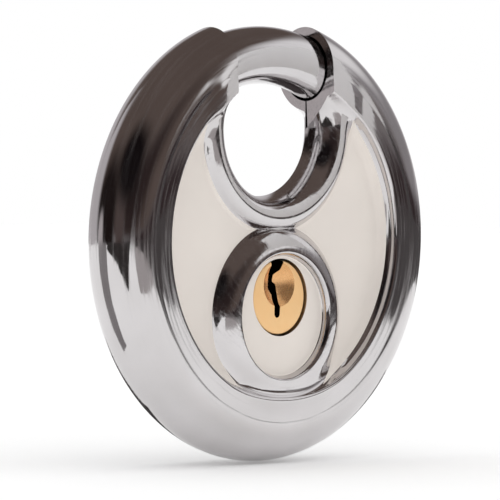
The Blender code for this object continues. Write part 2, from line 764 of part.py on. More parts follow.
def driver_arm():
    """The crank on the plug's tail, drawn pointing down and then turned to its rest place."""
    hole = flatted_circle(TAIL_RADIUS + RUN_GAP, TAIL_HALF_FLAT + RUN_GAP)
    pin_hole = clock_arc((0, -ARM_LENGTH), DRIVE_PIN_RADIUS + RUN_GAP, 0, 360)[:-1]
    outlines = [arm_outline(), hole, pin_hole]
    arm = flat_outline("driver_arm", outlines, ARM_FRONT, ARM_REAR, PLUG_AXIS, PARTS)
    swing(arm, ARM_REST)
    return finish(arm, PLAIN_STEEL)


def drive_pin():
    """The pin riveted in the driver's tip, which runs in the bar's slot."""
    head_front = ARM_REAR + PLATE_GAP
    head_rear = head_front + DRIVE_PIN_HEAD_THICKNESS
    profile = [
        (0, head_rear), (DRIVE_PIN_HEAD, head_rear), (DRIVE_PIN_HEAD, head_front),
        (DRIVE_PIN_RADIUS, head_front), (DRIVE_PIN_RADIUS, DRIVE_PIN_START + PIN_POINT),
        (DRIVE_PIN_RADIUS - PIN_POINT, DRIVE_PIN_START), (0, DRIVE_PIN_START),
    ]
    pin = turned("drive_pin", profile, REAR, PLUG_AXIS, PARTS, (0, -ARM_LENGTH), SMALL_STEPS)
    swing(pin, ARM_REST)
    return finish(pin, PLAIN_STEEL)


def plug_clip():
    """The open ring that holds the driver on the plug's tail."""
    half = CLIP_MOUTH_ANGLE / 2
    outline = ring_outline(TAIL_GROOVE_RADIUS + RUN_GAP, CLIP_RADIUS, 180 + half, 540 - half)
    rear = CLIP_FRONT + CLIP_THICKNESS
    clip = flat_outline("plug_clip", [outline], CLIP_FRONT, rear, PLUG_AXIS, PARTS)
    return finish(clip, SPRING_STEEL)


# Plates, screws and guides

def drill_plate():
    """A hard plate behind the boss, with a hole for the plug."""
    rise = BOSS_DROP - PLUG_DROP
    outside = clock_arc((0, -BOSS_DROP), DRILL_PLATE_RADIUS, 0, 360)[:-1]
    hole = clock_arc((0, rise - BOSS_DROP), BORE_RADIUS, 0, 360)[:-1]
    rear = -(DRILL_PLATE_FRONT - DRILL_PLATE_THICKNESS)
    plate = flat_outline("drill_plate", [outside, hole], -DRILL_PLATE_FRONT, rear, DISC, PARTS)
    return finish(plate, PLAIN_STEEL)


def carrier_plate():
    """The plate behind the front flats that the cylinder is screwed to."""
    outline = carrier_outline()
    plate = flat_outline("carrier_plate", [outline], -CARRIER_FRONT, -CARRIER_REAR, DISC, PARTS)
    hole = rod("carrier_hole", BODY_RADIUS + RUN_GAP, -THROUGH, THROUGH, FRONT, BARREL, CUTTERS)
    half = BIBLE_HALF_WIDTH + RUN_GAP
    gap = block("carrier_gap", (-half, -THROUGH, -THROUGH), (half, THROUGH, 0), BARREL, CUTTERS)
    combine(plate, "DIFFERENCE", hole, gap, *screw_holes("carrier_thread"))
    return finish(plate, PLAIN_STEEL)


def cylinder_screw(number, side):
    """A cheese-head screw that goes forward through an ear into the carrier plate."""
    head = SCREW_HEAD_FRONT
    profile = [
        (0, head + SCREW_HEAD), (SCREW_HEAD_RADIUS, head + SCREW_HEAD), (SCREW_HEAD_RADIUS, head),
        (SCREW_RADIUS, head), (SCREW_RADIUS, -CARRIER_FRONT), (0, -CARRIER_FRONT),
    ]
    middle = side * SCREW_OFFSET
    name = f"cylinder_screw_{number}"
    screw = turned(name, profile, REAR, BARREL, PARTS, (middle, 0), SMALL_STEPS)
    half = SCREW_SLOT / 2
    reach = SCREW_HEAD_RADIUS + TRIM
    slot = block(
        f"screw_slot_{number}", (middle - reach, head + SCREW_HEAD / 2, -half),
        (middle + reach, head + SCREW_HEAD + TRIM, half), BARREL, CUTTERS,
    )
    combine(screw, "DIFFERENCE", slot)
    return finish(screw, PLAIN_STEEL)


def shackle_guide(name, side):
    """A block between the shells that the bar's inner side runs along."""
    start, end = sorted((side * GUIDE_START, side * GUIDE_END))
    outline = ring_outline(CARRIER_RADIUS - GUIDE_WIDTH, CARRIER_RADIUS, start, end)
    guide = flat_outline(name, [outline], -GUIDE_FRONT, GUIDE_REAR, DISC, PARTS)
    return finish(guide, BRASS)


def build():
    front_shell()
    rear_shell()
    shackle()
    cylinder_body()
    plug()
    for number, (y, length) in enumerate(zip(pin_places(), KEY_PIN_LENGTHS), 1):
        pin_stack(number, y, length)
    chamber_strip()
    driver_arm()
    drive_pin()
    plug_clip()
    drill_plate()
    carrier_plate()
    for number, side in enumerate((-1, 1), 1):
        cylinder_screw(number, side)
    shackle_guide("shackle_guide_left", -1)
    shackle_guide("shackle_guide_right", 1)


clear_scene()
PARTS = new_collection("disc_padlock")
CUTTERS = new_collection("disc_padlock_cutters")
STEEL = metal("polished_stainless_steel", (0.72, 0.71, 0.70), 0.12)
BAR_STEEL = metal("ground_stainless_bar", (0.68, 0.67, 0.66), 0.2)
PLAIN_STEEL = metal("zinc_plated_steel", (0.55, 0.55, 0.53), 0.4)
SPRING_STEEL = metal("spring_steel", (0.45, 0.44, 0.42), 0.35)
BRASS = metal("machined_brass", (0.80, 0.50, 0.20), 0.3)
DISC = new_empty("disc_centre", None, (0, 0, -INNER_REACH))
BARREL = new_empty("cylinder_axis", DISC, (0, 0, -PLUG_DROP))
PLUG_AXIS = new_empty("plug_axis", DISC, (0, 0, -PLUG_DROP))
build()
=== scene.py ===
"""Looks for the disc padlock: polished and satin steel case, ground steel bar, brass key plug, and the stage.

Shapes are worked out in millimetres from the centre of the disc: x to the right, z up, and h away from
the lock's middle plane, towards whichever side a piece belongs to.
"""

import math

import bmesh
import bpy
import numpy as np
from bpy.props import FloatProperty, FloatVectorProperty, PointerProperty
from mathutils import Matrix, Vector
from mathutils.geometry import delaunay_2d_cdt
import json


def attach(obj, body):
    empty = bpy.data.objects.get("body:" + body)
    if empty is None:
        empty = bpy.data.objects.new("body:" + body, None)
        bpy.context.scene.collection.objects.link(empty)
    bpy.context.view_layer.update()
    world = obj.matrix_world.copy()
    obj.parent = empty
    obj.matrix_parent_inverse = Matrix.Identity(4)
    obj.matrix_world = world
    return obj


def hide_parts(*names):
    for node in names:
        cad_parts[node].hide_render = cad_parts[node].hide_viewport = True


bl_info = {
    "name": "Disc padlock",
    "version": (1, 0, 0),
    "blender": (4, 5, 0),
    "location": "View3D > Sidebar > Disc padlock",
    "description": "Builds the visible pieces, finishes and stage of a disc padlock around its packed solids",
    "category": "Object",
}

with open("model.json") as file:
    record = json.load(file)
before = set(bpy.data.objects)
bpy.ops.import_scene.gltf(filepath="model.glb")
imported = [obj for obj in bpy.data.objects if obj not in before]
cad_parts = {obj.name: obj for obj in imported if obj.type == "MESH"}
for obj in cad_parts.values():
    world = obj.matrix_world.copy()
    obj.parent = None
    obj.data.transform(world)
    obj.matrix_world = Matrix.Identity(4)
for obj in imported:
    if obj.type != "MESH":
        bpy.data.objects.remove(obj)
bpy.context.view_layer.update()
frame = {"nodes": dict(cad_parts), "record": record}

MM = 0.001
CENTRE_Z = -24.4

# The case's sections, in mm
PITCH_RADIUS = 28.9
TUBE_RADIUS = 6.1
CHANNEL_RADIUS = 4.8
DISC_RADIUS = PITCH_RADIUS + TUBE_RADIUS
FRONT_FLAT = 3.6
REAR_FLAT = 4.4
OPENING_RADIUS = 10.8
OPENING_RISE = 17.5

# The pressed lip round the opening: how far it runs out to its crest, falls off behind it and stands up,
# and how it fades under the rim
LIP_RUN = 3.4
LIP_FALL = 3.0
LIP_CREST = 5.3
LIP_INSIDE = 1.0
LIP_FADE = 2.0

# The boss round the plug: a raised ring with a sunk flat in it
BOSS_DROP = 12.0
BOSS_FLAT = 4.8
BOSS_RING_RADIUS = 10.1
BOSS_RING_OUTER = 4.85
BOSS_RING_INNER = 1.0
BOSS_RING_HEIGHT = 2.6
BOSS_FLAT_BLEND = 0.3
PLUG_DROP = 9.1
PLUG_HOLE_RADIUS = 6.1
PLUG_HOLE_DEPTH = 1.3
PLUG_HOLE_SUNK = 0.02

# The rear's round housing and the countersink of its opening
HOUSING_RADIUS = 22.9
HOUSING_TOP = 10.4
HOUSING_CORNER = 2.4
HOUSING_FOOT_BLEND = 1.5
COUNTERSINK_BLEND = 0.4

# The band inside the rim's crest: where it starts and how high, its slope, the fine line beside it, and
# its steep wall down to the flats
BAND_OUTER = 28.58
BAND_HEIGHT = 6.098
BAND_RISE = 0.055
BAND_RADIUS = 24.8
WALL_LEAN = math.radians(12)
BAND_ROUND = 0.45
BAND_JOIN = 0.02
LINE_DEPTH = 0.01
LINE_WIDTH = 0.2

# How softly the pressed forms run into one another, in mm
CREASE = 0.7
MOUTH_BLEND = 2.6
BOSS_BLEND = 3.0

# How far the lining of the bar's channel shows in each mouth
LINING_ANGLE = math.radians(30)
LINING_ROWS = 16

# Bar, in mm and degrees clockwise from the top
BAR_TIP = -34.0
BAR_TAIL = 166.07
BAR_ROUND = 1.0
BAR_COUNT = 150
BAR_SIDES = 64
PIN_SLOT_HALF = 1.8
PIN_SLOT_END = 27.7
PIN_SLOT_ANGLE = 149.415
PIN_SLOT_FRONT = -0.3

# Key plug, in mm from its own axis; depths run from the lock's middle plane
PLUG_FRONT = 4.5
PLUG_ROUND = 0.25
FACE_CENTRE = 0.4
SCOOP_SIDE = 0.1
SCOOP_RISE = 2.0
TAIL_START = 4.8
TAIL_RADIUS = 2.6
TAIL_NECK = 1.9
TAIL_GROOVE = (7.15, 8.15)
TAIL_END = 8.7
TAIL_FLAT = 1.9
TAIL_FLAT_REACH = 7.0
TAIL_FLAT_ANGLE = math.radians(-45)
PIN_HOLE_RADIUS = 0.9
PIN_HOLE_DROPS = (1.2, 8.0)
PIN_PLACES = (-0.85, 1.4, 3.65)
KEYWAY_RIGHT = (
    (1.05, 6.9), (1.05, 4.5), (0.9, 4.2), (0.2, 3.8), (-0.25, 3.5), (-0.3, 2.6), (-0.15, 2.35), (0.45, 2.05),
    (0.6, 1.3), (0.6, 0.3), (0.35, -1.0),
)
KEYWAY_LEFT = ((-0.95, -0.9), (-0.7, 0.4), (-1.45, 1.4), (-1.5, 3.2), (-1.6, 3.8), (-1.7, 6.9))
KEYWAY_FOOT = (-0.38, -2.6)
KEYWAY_FOOT_RADIUS = 0.6
KEYWAY_END = 4.3
TURN_COUNT = 96
PIN_HOLE_COUNT = 24
SHARP_ANGLE = math.radians(32)
# How far a tool runs past the plug's front, how near a face must be to count as on a surface, how far
# under the front the dish starts, and how little a wall faces the front
OVERCUT = 1.0
FACE_SLACK = 0.1
SCOOP_EDGE = 0.01
WALL_FACING = 0.2

# How fine the case's meshes are, in mm and in points along a row
CREST_STEP = 0.4
GRID_STEP = 0.36
FILL_GAP = 0.198
LIP_COUNT = 15
LIP_SIDE_COUNT = 28
LIP_TURN_COUNT = 96
LIP_CREASE_COUNT = 200
LIP_CREASE_STEP = 0.25
RIM_COUNT = 19
REAR_RIM_COUNT = 73
HOLE_COUNT = 100
CREASE_COUNT = 600
REAR_CREASE_COUNT = 700
CREASE_GAP = 0.07
REAR_CREASE_GAP = 0.04
# Rows of points beside each crease, along the rim's crest and the boss's, and round the housing's foot
BESIDE = (0.0, -0.1, 0.1, -0.22, 0.22, -0.4, 0.4)
CREST_CIRCLES = (25.32, 25.42, 25.55, 25.7, 25.9, 28.3, 28.45, 28.55, 28.62, 28.69, 28.76)
BOSS_CIRCLES = (9.95, 10.05, 10.15, 10.3, 10.5)
BESIDE_FOOT = (-0.03, 0.03, 0.1, 0.2, 0.35, 0.55, 0.8)
EDGE_SLACK = 0.02
GRADIENT_STEP = 0.004
HALVINGS = 30
RIM_REACH = 12.0
TOP_REACH = 14.0

# Sizes of the finishes' marks and of the clouds in their colour, in mm. The marks are coarser than real
# ones, which would be too fine to see.
POLISH_MARK = 0.4545
POLISH_HAZE = 8.333
SATIN_GRAIN = 0.3846
SATIN_CLOUD = 11.11
TOOL_MARK = 0.5556
TOOL_CLOUD = 3.333

# What mirrors see of the room: each flag's colour, its centre and half size (degrees round from the front,
# degrees up), its lean in degrees and how soft its edge is. Later flags lie over earlier ones.
ROOM = "#f1eff1"
FLAGS = (
    ("#60544f", (0, 90), (400, 89.5), 0, 0.02),  # brown ceiling and walls, down to the horizon
    ("#2f2524", (-28, 14), (46, 14), 12, 0.6),  # dark wall before the lock
    ("#928e90", (84, 15), (38, 17), 0, 0.3),  # grey surround of the window on the right
    ("#f6f5f6", (72, 26), (29, 11), 0, 0.45),  # window on the right
    ("#1f1817", (-118, 6), (36, 30), 0, 0.35),  # dark wall on the left
    ("#c3bfc1", (150, 0), (40, 27), 0, 0.25),  # light wall behind, on the right
    ("#c3bfc1", (-180, 0), (30, 40), 0, 0.2),  # light wall behind, on the left
    ("#554a48", (-72, 6), (14, 16), 0, 0.5),  # brown gap between the dark walls
    ("#3a3031", (30, -0.5), (90, 2.2), 0, 0.5),  # dark line along the horizon
    ("#140f10", (-66, 34), (40, 18), -10, 0.4),  # black corner above the camera
    ("#ffffff", (43, 14), (10, 7), 0, 0.25),  # bright patch of wall on the right
    ("#c0babb", (-133, 1), (9, 9), 0, 0.35),  # small window on the left
)

# The stage, in mm: the white floor, and the darker ground and the white card, which only mirrors see. Each
# piece of ground has its name, colour and outline. FLOOR_LIFT is the floor's own glow.
FLOOR_REACH = 900
FLOOR_GAP = 0.3
GROUND_GAP = 0.2
FLOOR_LIFT = 0.12
GROUND = (
    ("behind", "#3c3435", [(-20, 14), (80, 10), (90, 90), (0, 90)]),
    ("beyond", "#3c3435", [
        (-2300, -1930), (-80, -560), (190, -300), (300, 0), (330, 300), (2300, 1930), (2000, -2400)
    ]),
    ("left", "#8c8889", [(-48, 5), (-44, 12), (-1000, 1150), (-1440, 510)]),
    ("before", "#2a2220", [
        (-90, -49), (-132, -47), (-202, -39), (-294, 11), (-484, 155), (-2200, 700), (-1300, -1580)
    ]),
    ("front", "#b2acac", [(-60, -95), (72, -248), (190, -300), (-80, -560), (-400, -757)]),
)
CARD = [(17, -33, -18), (34, -17, -18), (34, -17, 20), (17, -33, 20)]

# The camera: its sensor's width in mm, the picture's in pixels, and where its view starts, in metres
SENSOR = 36.0
PICTURE = 500
CLIP_START = 0.01


def linear(value):
    """An sRGB hex string as linear red, green, blue and alpha."""
    channels = [int(value[i : i + 2], 16) / 255 for i in (1, 3, 5)]
    return (*(c / 12.92 if c <= 0.04045 else ((c + 0.055) / 1.055) ** 2.4 for c in channels), 1.0)


def in_mm(length):
    """A length property, which is kept in metres, in mm."""
    return round(length / MM, 6)


# Sections as signed distances

def soft_min(a, b, width):
    """The nearer of two solids, run together over a width where they meet."""
    overlap = np.maximum(width - np.abs(a - b), 0) / width
    return np.minimum(a, b) - overlap * overlap * width / 4


def soft_max(a, b, width):
    """What two solids share, with a rounded edge."""
    return -soft_min(-a, -b, width)


def past_opening(x, z):
    """Distance outward from the opening's edge: a half circle below two upright sides."""
    return np.where(z > OPENING_RISE, np.abs(x), np.hypot(x, z - OPENING_RISE)) - OPENING_RADIUS


def ellipse(u, v, half_u, half_v):
    """About the distance to an ellipse round the origin."""
    level = np.sqrt((u / half_u) ** 2 + (v / half_v) ** 2)
    slope = np.sqrt((u / half_u**2) ** 2 + (v / half_v**2) ** 2)
    return level * (level - 1) / np.maximum(slope, 1e-9)


def rim(x, h, z):
    """The round tube of the rim."""
    return np.hypot(np.hypot(x, z) - PITCH_RADIUS, h) - TUBE_RADIUS


def front_lip(x, h, z):
    """The lip round the opening, which sinks away under the rim."""
    across = past_opening(x, z) - LIP_RUN
    half = np.where(across < 0, LIP_RUN, LIP_FALL)
    bulge = ellipse(across, h, half, LIP_CREST)
    return soft_max(bulge, np.hypot(x, z) - PITCH_RADIUS + LIP_INSIDE, LIP_FADE)


def front_boss(x, h, z):
    """The boss's ring, and the flat inside it."""
    across = np.hypot(x, z + BOSS_DROP) - BOSS_RING_RADIUS
    half = np.where(across < 0, BOSS_RING_INNER, BOSS_RING_OUTER)
    ring = ellipse(across, h - FRONT_FLAT + BOSS_RING_HEIGHT, half, 2 * BOSS_RING_HEIGHT)
    return soft_min(ring, np.maximum(h - BOSS_FLAT, across), BOSS_FLAT_BLEND)


def front_plate(x, h, z):
    """The satin flats, which stop under the lip's crest."""
    sides = np.maximum(np.hypot(x, z) - PITCH_RADIUS, LIP_RUN - past_opening(x, z))
    return np.maximum(h - FRONT_FLAT, sides)


def front_rim(x, h, z):
    """The rim's tube and the band inside its crest, which still leans outward and ends in a steep wall."""
    radius = np.hypot(x, z)
    line = LINE_DEPTH * np.exp(-(((radius - BAND_OUTER) / LINE_WIDTH) ** 2))
    top = h - BAND_HEIGHT - (BAND_OUTER - radius) * BAND_RISE + line
    wall = (BAND_RADIUS - radius) * math.cos(WALL_LEAN) + (h - FRONT_FLAT) * math.sin(WALL_LEAN)
    band = np.maximum(soft_max(top, wall, BAND_ROUND), radius - PITCH_RADIUS)
    return soft_min(rim(x, h, z), band, BAND_JOIN)


def front_case(x, h, z):
    """The whole front pressing."""
    edge = front_rim(x, h, z)
    mouth = soft_min(edge, front_lip(x, h, z), MOUTH_BLEND)
    foot = soft_min(edge, front_boss(x, h, z), BOSS_BLEND)
    return soft_min(front_plate(x, h, z), np.minimum(mouth, foot), CREASE)


def rear_case(x, h, z):
    """The rear pressing: flat, round-cornered housing and a countersink round the opening."""
    plate = np.maximum(h - REAR_FLAT, np.hypot(x, z) - PITCH_RADIUS)
    across = np.hypot(x, z + PLUG_DROP) - (HOUSING_RADIUS - HOUSING_CORNER)
    above = h - (HOUSING_TOP - HOUSING_CORNER)
    outside = np.hypot(np.maximum(across, 0), np.maximum(above, 0))
    housing = outside + np.minimum(np.maximum(across, above), 0) - HOUSING_CORNER
    sunk = (h - past_opening(x, z)) / math.sqrt(2)
    body = soft_max(soft_min(plate, housing, HOUSING_FOOT_BLEND), sunk, COUNTERSINK_BLEND)
    return soft_min(body, rim(x, h, z), CREASE)


def channel(x, h, z):
    """The round channel that the bar runs in."""
    return np.hypot(np.hypot(x, z) - PITCH_RADIUS, h) - CHANNEL_RADIUS


def gradient(field, points):
    """The outward normal of the field at each point."""
    slope = np.empty_like(points)
    for axis in range(3):
        shift = np.zeros(3)
        shift[axis] = GRADIENT_STEP
        slope[:, axis] = field(*(points + shift).T) - field(*(points - shift).T)
    return slope / np.maximum(np.linalg.norm(slope, axis=1, keepdims=True), 1e-12)


def surface_along(field, start, direction, reach):
    """Where each ray, which starts inside the solid, leaves it, found by halving."""
    low = np.zeros(len(start))
    high = np.full(len(start), reach)
    for _ in range(HALVINGS):
        middle = (low + high) / 2
        inside = field(*(start + direction * middle[:, None]).T) < 0
        low = np.where(inside, middle, low)
        high = np.where(inside, high, middle)
    return start + direction * ((low + high) / 2)[:, None]


# The case's sheets: each is (points, normals, faces), and all of one side are joined into one mesh

def lattice(rows, columns, base=0):
    """Quads over a grid of points stored row by row."""
    row, column = np.meshgrid(np.arange(rows - 1), np.arange(columns - 1), indexing="ij")
    corner = (row * columns + column).ravel() + base
    return np.stack([corner, corner + 1, corner + columns + 1, corner + columns], axis=1)


def upright(count):
    """As many directions straight away from the lock's middle plane."""
    return np.tile((0.0, 1.0, 0.0), (count, 1))


def at_height_zero(x, z):
    """Places in the lock's middle plane."""
    return np.stack([x, np.zeros_like(x), z], axis=1)


def mouth_angle(radius, row=0.0):
    """Clockwise angle from the top at which a circle about the disc's centre meets the opening's side, or a
    row that far outside it."""
    return np.arcsin((OPENING_RADIUS + row) / radius)


def crest_angles():
    """Angles along the crest of the rim: the lip's rows near each mouth, then even steps between."""
    near = mouth_angle(PITCH_RADIUS, lip_rows())
    far = 2 * np.pi - near
    count = int(PITCH_RADIUS * (far[-1] - near[-1]) / CREST_STEP)
    between = np.linspace(near[-1], far[-1], count)
    return np.concatenate([near[:-1], between, far[:-1][::-1]])


def lip_rows():
    """Distances from the opening's edge, close together where the lip stands upright."""
    turn = np.linspace(0, math.pi / 2, LIP_COUNT)
    return LIP_RUN * (1 - np.cos(turn))


def spokes(angle, turn):
    """Rays from the tube's middle line, at angles round the disc, turned up by turn from straight outward."""
    start = np.stack([PITCH_RADIUS * np.sin(angle), 0 * angle, PITCH_RADIUS * np.cos(angle)], axis=1)
    out = math.cos(turn)
    way = np.stack([out * np.sin(angle), 0 * angle + math.sin(turn), out * np.cos(angle)], axis=1)
    return start, way


def rim_sheet(field, rows):
    """The outer half of the rim's tube, from its crest out to the middle plane."""
    crest = crest_angles()
    share = (crest - crest[0]) / (crest[-1] - crest[0])
    rays = []
    for turn in np.linspace(math.pi / 2, 0, rows):
        first = mouth_angle(PITCH_RADIUS + TUBE_RADIUS * math.cos(turn))
        rays.append(spokes(first + share * (2 * math.pi - 2 * first), turn))
    starts, ways = (np.concatenate(part) for part in zip(*rays))
    points = surface_along(field, starts, ways, RIM_REACH)
    return points, gradient(field, points), lattice(rows, len(crest))


def lip_columns(row):
    """Places (x, z) along one row of the lip, from the right mouth down and round to the left mouth."""
    away = OPENING_RADIUS + row
    top = math.sqrt(PITCH_RADIUS**2 - away**2)
    side = np.linspace(top, OPENING_RISE, LIP_SIDE_COUNT)[:-1]
    return round_opening(away, side, np.linspace(0, math.pi, LIP_TURN_COUNT))


def round_opening(away, side, turn):
    """Places (x, z) that far from the opening's upright middle line and round its half circle."""
    x = np.concatenate([0 * side + away, away * np.cos(turn), 0 * side - away])
    z = np.concatenate([side, OPENING_RISE - away * np.sin(turn), side[::-1]])
    return x, z


def lip_sheet(field):
    """From the lip's crest in to the opening's edge."""
    rows = lip_rows()
    places = [lip_columns(row) for row in rows]
    x, z = (np.concatenate(part) for part in zip(*places))
    points = surface_along(field, at_height_zero(x, z), upright(len(x)), TOP_REACH)
    return points, gradient(field, points), lattice(len(rows), len(places[0][0]))


def middle_sheet(field, guides, hole):
    """The part inside the rim's crest, with points along the guides and round the plug's hole, if any."""
    crest = crest_angles()[LIP_COUNT - 1 : -(LIP_COUNT - 1)]
    outer = np.stack([PITCH_RADIUS * np.sin(crest), PITCH_RADIUS * np.cos(crest)], axis=1)
    inner = np.stack(lip_columns(LIP_RUN), axis=1)
    bounds = [outer, inner[1:-1]]
    if hole:
        bounds.append(circle_points(PLUG_HOLE_RADIUS, -PLUG_DROP, HOLE_COUNT))
    taken = np.concatenate(bounds + guides)
    fill = hex_grid()
    fill = fill[far_from(fill, taken, FILL_GAP)]
    flat = np.concatenate([taken, fill])
    flat = flat[domain(flat, hole, -EDGE_SLACK)]
    made = delaunay_2d_cdt([Vector(p) for p in flat], [], [], 0, 1e-7, False)
    flat = np.array(made[0])
    faces = np.array(made[2])
    faces = faces[domain(flat[faces].mean(axis=1), hole, 0.0)]
    points = surface_along(field, at_height_zero(*flat.T), upright(len(flat)), TOP_REACH)
    return points, gradient(field, points), faces


def circle_points(radius, rise, count):
    """Places (x, z) evenly round a circle whose centre is that far above the disc's."""
    turn = np.linspace(0, 2 * math.pi, count, endpoint=False)
    return np.stack([radius * np.sin(turn), rise + radius * np.cos(turn)], axis=1)


def lip_crease():
    """Distance from the opening's edge at which the lip meets the front flat."""
    return LIP_RUN + LIP_FALL * math.sqrt(1 - (FRONT_FLAT / LIP_CREST) ** 2)


def boss_edge():
    """Radius at which the boss's ring meets the front flat, halfway up the ring's ellipse."""
    return BOSS_RING_RADIUS + BOSS_RING_OUTER * math.sqrt(0.75)


def boss_flat_radius():
    """Radius at which the boss's ring meets its sunk flat."""
    rise = (BOSS_FLAT - FRONT_FLAT + BOSS_RING_HEIGHT) / (2 * BOSS_RING_HEIGHT)
    return BOSS_RING_RADIUS - BOSS_RING_INNER * math.sqrt(1 - rise**2)


def rear_creases():
    """Points along the rear housing's corner and the foot of its wall."""
    corner = [HOUSING_RADIUS - HOUSING_CORNER * (1 - math.sin(t)) for t in np.radians(range(0, 90, 10))]
    foot = [HOUSING_RADIUS + step for step in BESIDE_FOOT]
    curves = [circle_points(radius, -PLUG_DROP, REAR_CREASE_COUNT) for radius in [*foot, *corner]]
    return thinned(curves, REAR_CREASE_GAP)


def front_creases():
    """Points along each crease of the front, so that the mesh has edges there."""
    half, third = CREASE_COUNT // 2, CREASE_COUNT // 3
    curves = []
    for offset in BESIDE:
        curves.append(circle_points(BAND_RADIUS + offset, 0, CREASE_COUNT))
        curves.append(lip_crease_points(lip_crease() + offset))
        curves.append(circle_points(boss_edge() + offset, -BOSS_DROP, half))
        curves.append(circle_points(boss_flat_radius() + offset, -BOSS_DROP, third))
    curves += [circle_points(radius, 0, CREASE_COUNT) for radius in CREST_CIRCLES]
    curves += [circle_points(radius, -BOSS_DROP, half) for radius in BOSS_CIRCLES]
    return thinned(curves, CREASE_GAP)


def thinned(curves, least):
    """The curves without the points that come too close to an earlier curve's."""
    kept = curves[:1]
    for curve in curves[1:]:
        kept.append(curve[far_from(curve, np.concatenate(kept), least)])
    return kept


def lip_crease_points(row):
    """Close points along the line that far from the opening's edge."""
    side = np.arange(PITCH_RADIUS, OPENING_RISE, -LIP_CREASE_STEP)
    turn = np.linspace(0, math.pi, LIP_CREASE_COUNT)
    return np.stack(round_opening(OPENING_RADIUS + row, side, turn), axis=1)


def hex_grid():
    """An even triangular grid of places over the disc."""
    across = GRID_STEP * math.sqrt(0.75)
    columns, rows = (int(2 * PITCH_RADIUS / step) + 3 for step in (GRID_STEP, across))
    column, row = np.meshgrid(np.arange(columns), np.arange(rows), indexing="ij")
    x = (column + 0.5 * (row % 2)) * GRID_STEP - PITCH_RADIUS
    z = row * across - PITCH_RADIUS
    return np.stack([x.ravel(), z.ravel()], axis=1)


def domain(places, hole, slack):
    """Whether each place is between the rim's crest and the lip's crest, and clear of the plug's hole."""
    x, z = places.T
    inside = (np.hypot(x, z) < PITCH_RADIUS - slack) & (past_opening(x, z) > LIP_RUN + slack)
    if hole:
        inside &= np.hypot(x, z + PLUG_DROP) > PLUG_HOLE_RADIUS + slack
    return inside


def far_from(places, taken, least):
    """Which places lie at least so far from every taken one, looked up through a coarse grid."""
    keys = {}
    for index, key in enumerate(map(tuple, np.floor(taken).astype(int))):
        keys.setdefault(key, []).append(index)
    keep = np.ones(len(places), bool)
    for index, (key, place) in enumerate(zip(np.floor(places).astype(int), places)):
        near = [
            other
            for i in (-1, 0, 1)
            for j in (-1, 0, 1)
            for other in keys.get((key[0] + i, key[1] + j), ())
        ]
        if near and np.hypot(*(taken[near] - place).T).min() < least:
            keep[index] = False
    return keep


def mouth_edge(field):
    """The case's outline in the plane of the right mouth, from the middle plane outside, over the crest and
    down the opening's side."""
    rays = []
    for turn in np.linspace(0, math.pi / 2, RIM_COUNT):
        angle = mouth_angle(PITCH_RADIUS + TUBE_RADIUS * math.cos(turn))
        rays.append(spokes(np.array([angle]), turn))
    starts, ways = (np.concatenate(part) for part in zip(*rays))
    over = surface_along(field, starts, ways, RIM_REACH)
    x, z = (part[:LIP_SIDE_COUNT] for part in lip_columns(0.0))
    down = surface_along(field, at_height_zero(x, z), upright(LIP_SIDE_COUNT), TOP_REACH)
    return np.concatenate([over, down[1:]])


def mouth_sheets(field):
    """The cut face of the sheet round the right mouth and the channel behind it, then the left one's."""
    edge = mouth_edge(field)
    centre = np.array([OPENING_RADIUS, 0, math.sqrt(PITCH_RADIUS**2 - OPENING_RADIUS**2)])
    spoke = edge - centre
    reach = np.linalg.norm(spoke, axis=1, keepdims=True)
    way = spoke / np.maximum(reach, 1e-9)
    hole = surface_along(channel, np.tile(centre, (len(edge), 1)), way, RIM_REACH)
    hole = np.where(reach < np.linalg.norm(hole - centre, axis=1, keepdims=True), edge, hole)
    wall = np.concatenate([edge, hole])
    face = (wall, np.tile((-1.0, 0.0, 0.0), (len(wall), 1)), lattice(2, len(edge)))
    rows = []
    for turn in np.linspace(0, LINING_ANGLE, LINING_ROWS):
        x, z = clockwise((hole[:, 0], hole[:, 2]), turn)
        rows.append(np.stack([x, hole[:, 1], z], axis=1))
    lining = np.concatenate(rows)
    sheets = [face, (lining, -gradient(channel, lining), lattice(LINING_ROWS, len(hole)))]
    return sheets + [mirrored(sheet) for sheet in sheets]


def mirrored(sheet):
    """A sheet's copy on the other side, left for right."""
    points, normals, faces = sheet
    flip = np.array([-1.0, 1.0, 1.0])
    return points * flip, normals * flip, faces


def hole_sheet():
    """The wall of the plug's hole, from just under the boss's flat down."""
    turn = np.linspace(0, 2 * math.pi, HOLE_COUNT + 1)
    out = np.stack([np.sin(turn), 0 * turn, np.cos(turn)], axis=1)
    heights = (BOSS_FLAT - PLUG_HOLE_SUNK, BOSS_FLAT - PLUG_HOLE_DEPTH)
    points = np.concatenate([PLUG_HOLE_RADIUS * out + (0, height, -PLUG_DROP) for height in heights])
    return points, np.tile(-out, (2, 1)), lattice(2, len(turn))


def satin_faces(points, faces):
    """Which faces lie on the front's flats or on the boss's flat."""
    middle = points[faces].mean(axis=1)
    x, z = middle[:, 0], middle[:, 2]
    boss = np.hypot(x, z + BOSS_DROP)
    flats = (np.hypot(x, z) < BAND_RADIUS) & (past_opening(x, z) > lip_crease()) & (boss > boss_edge())
    return flats | (boss < boss_flat_radius())


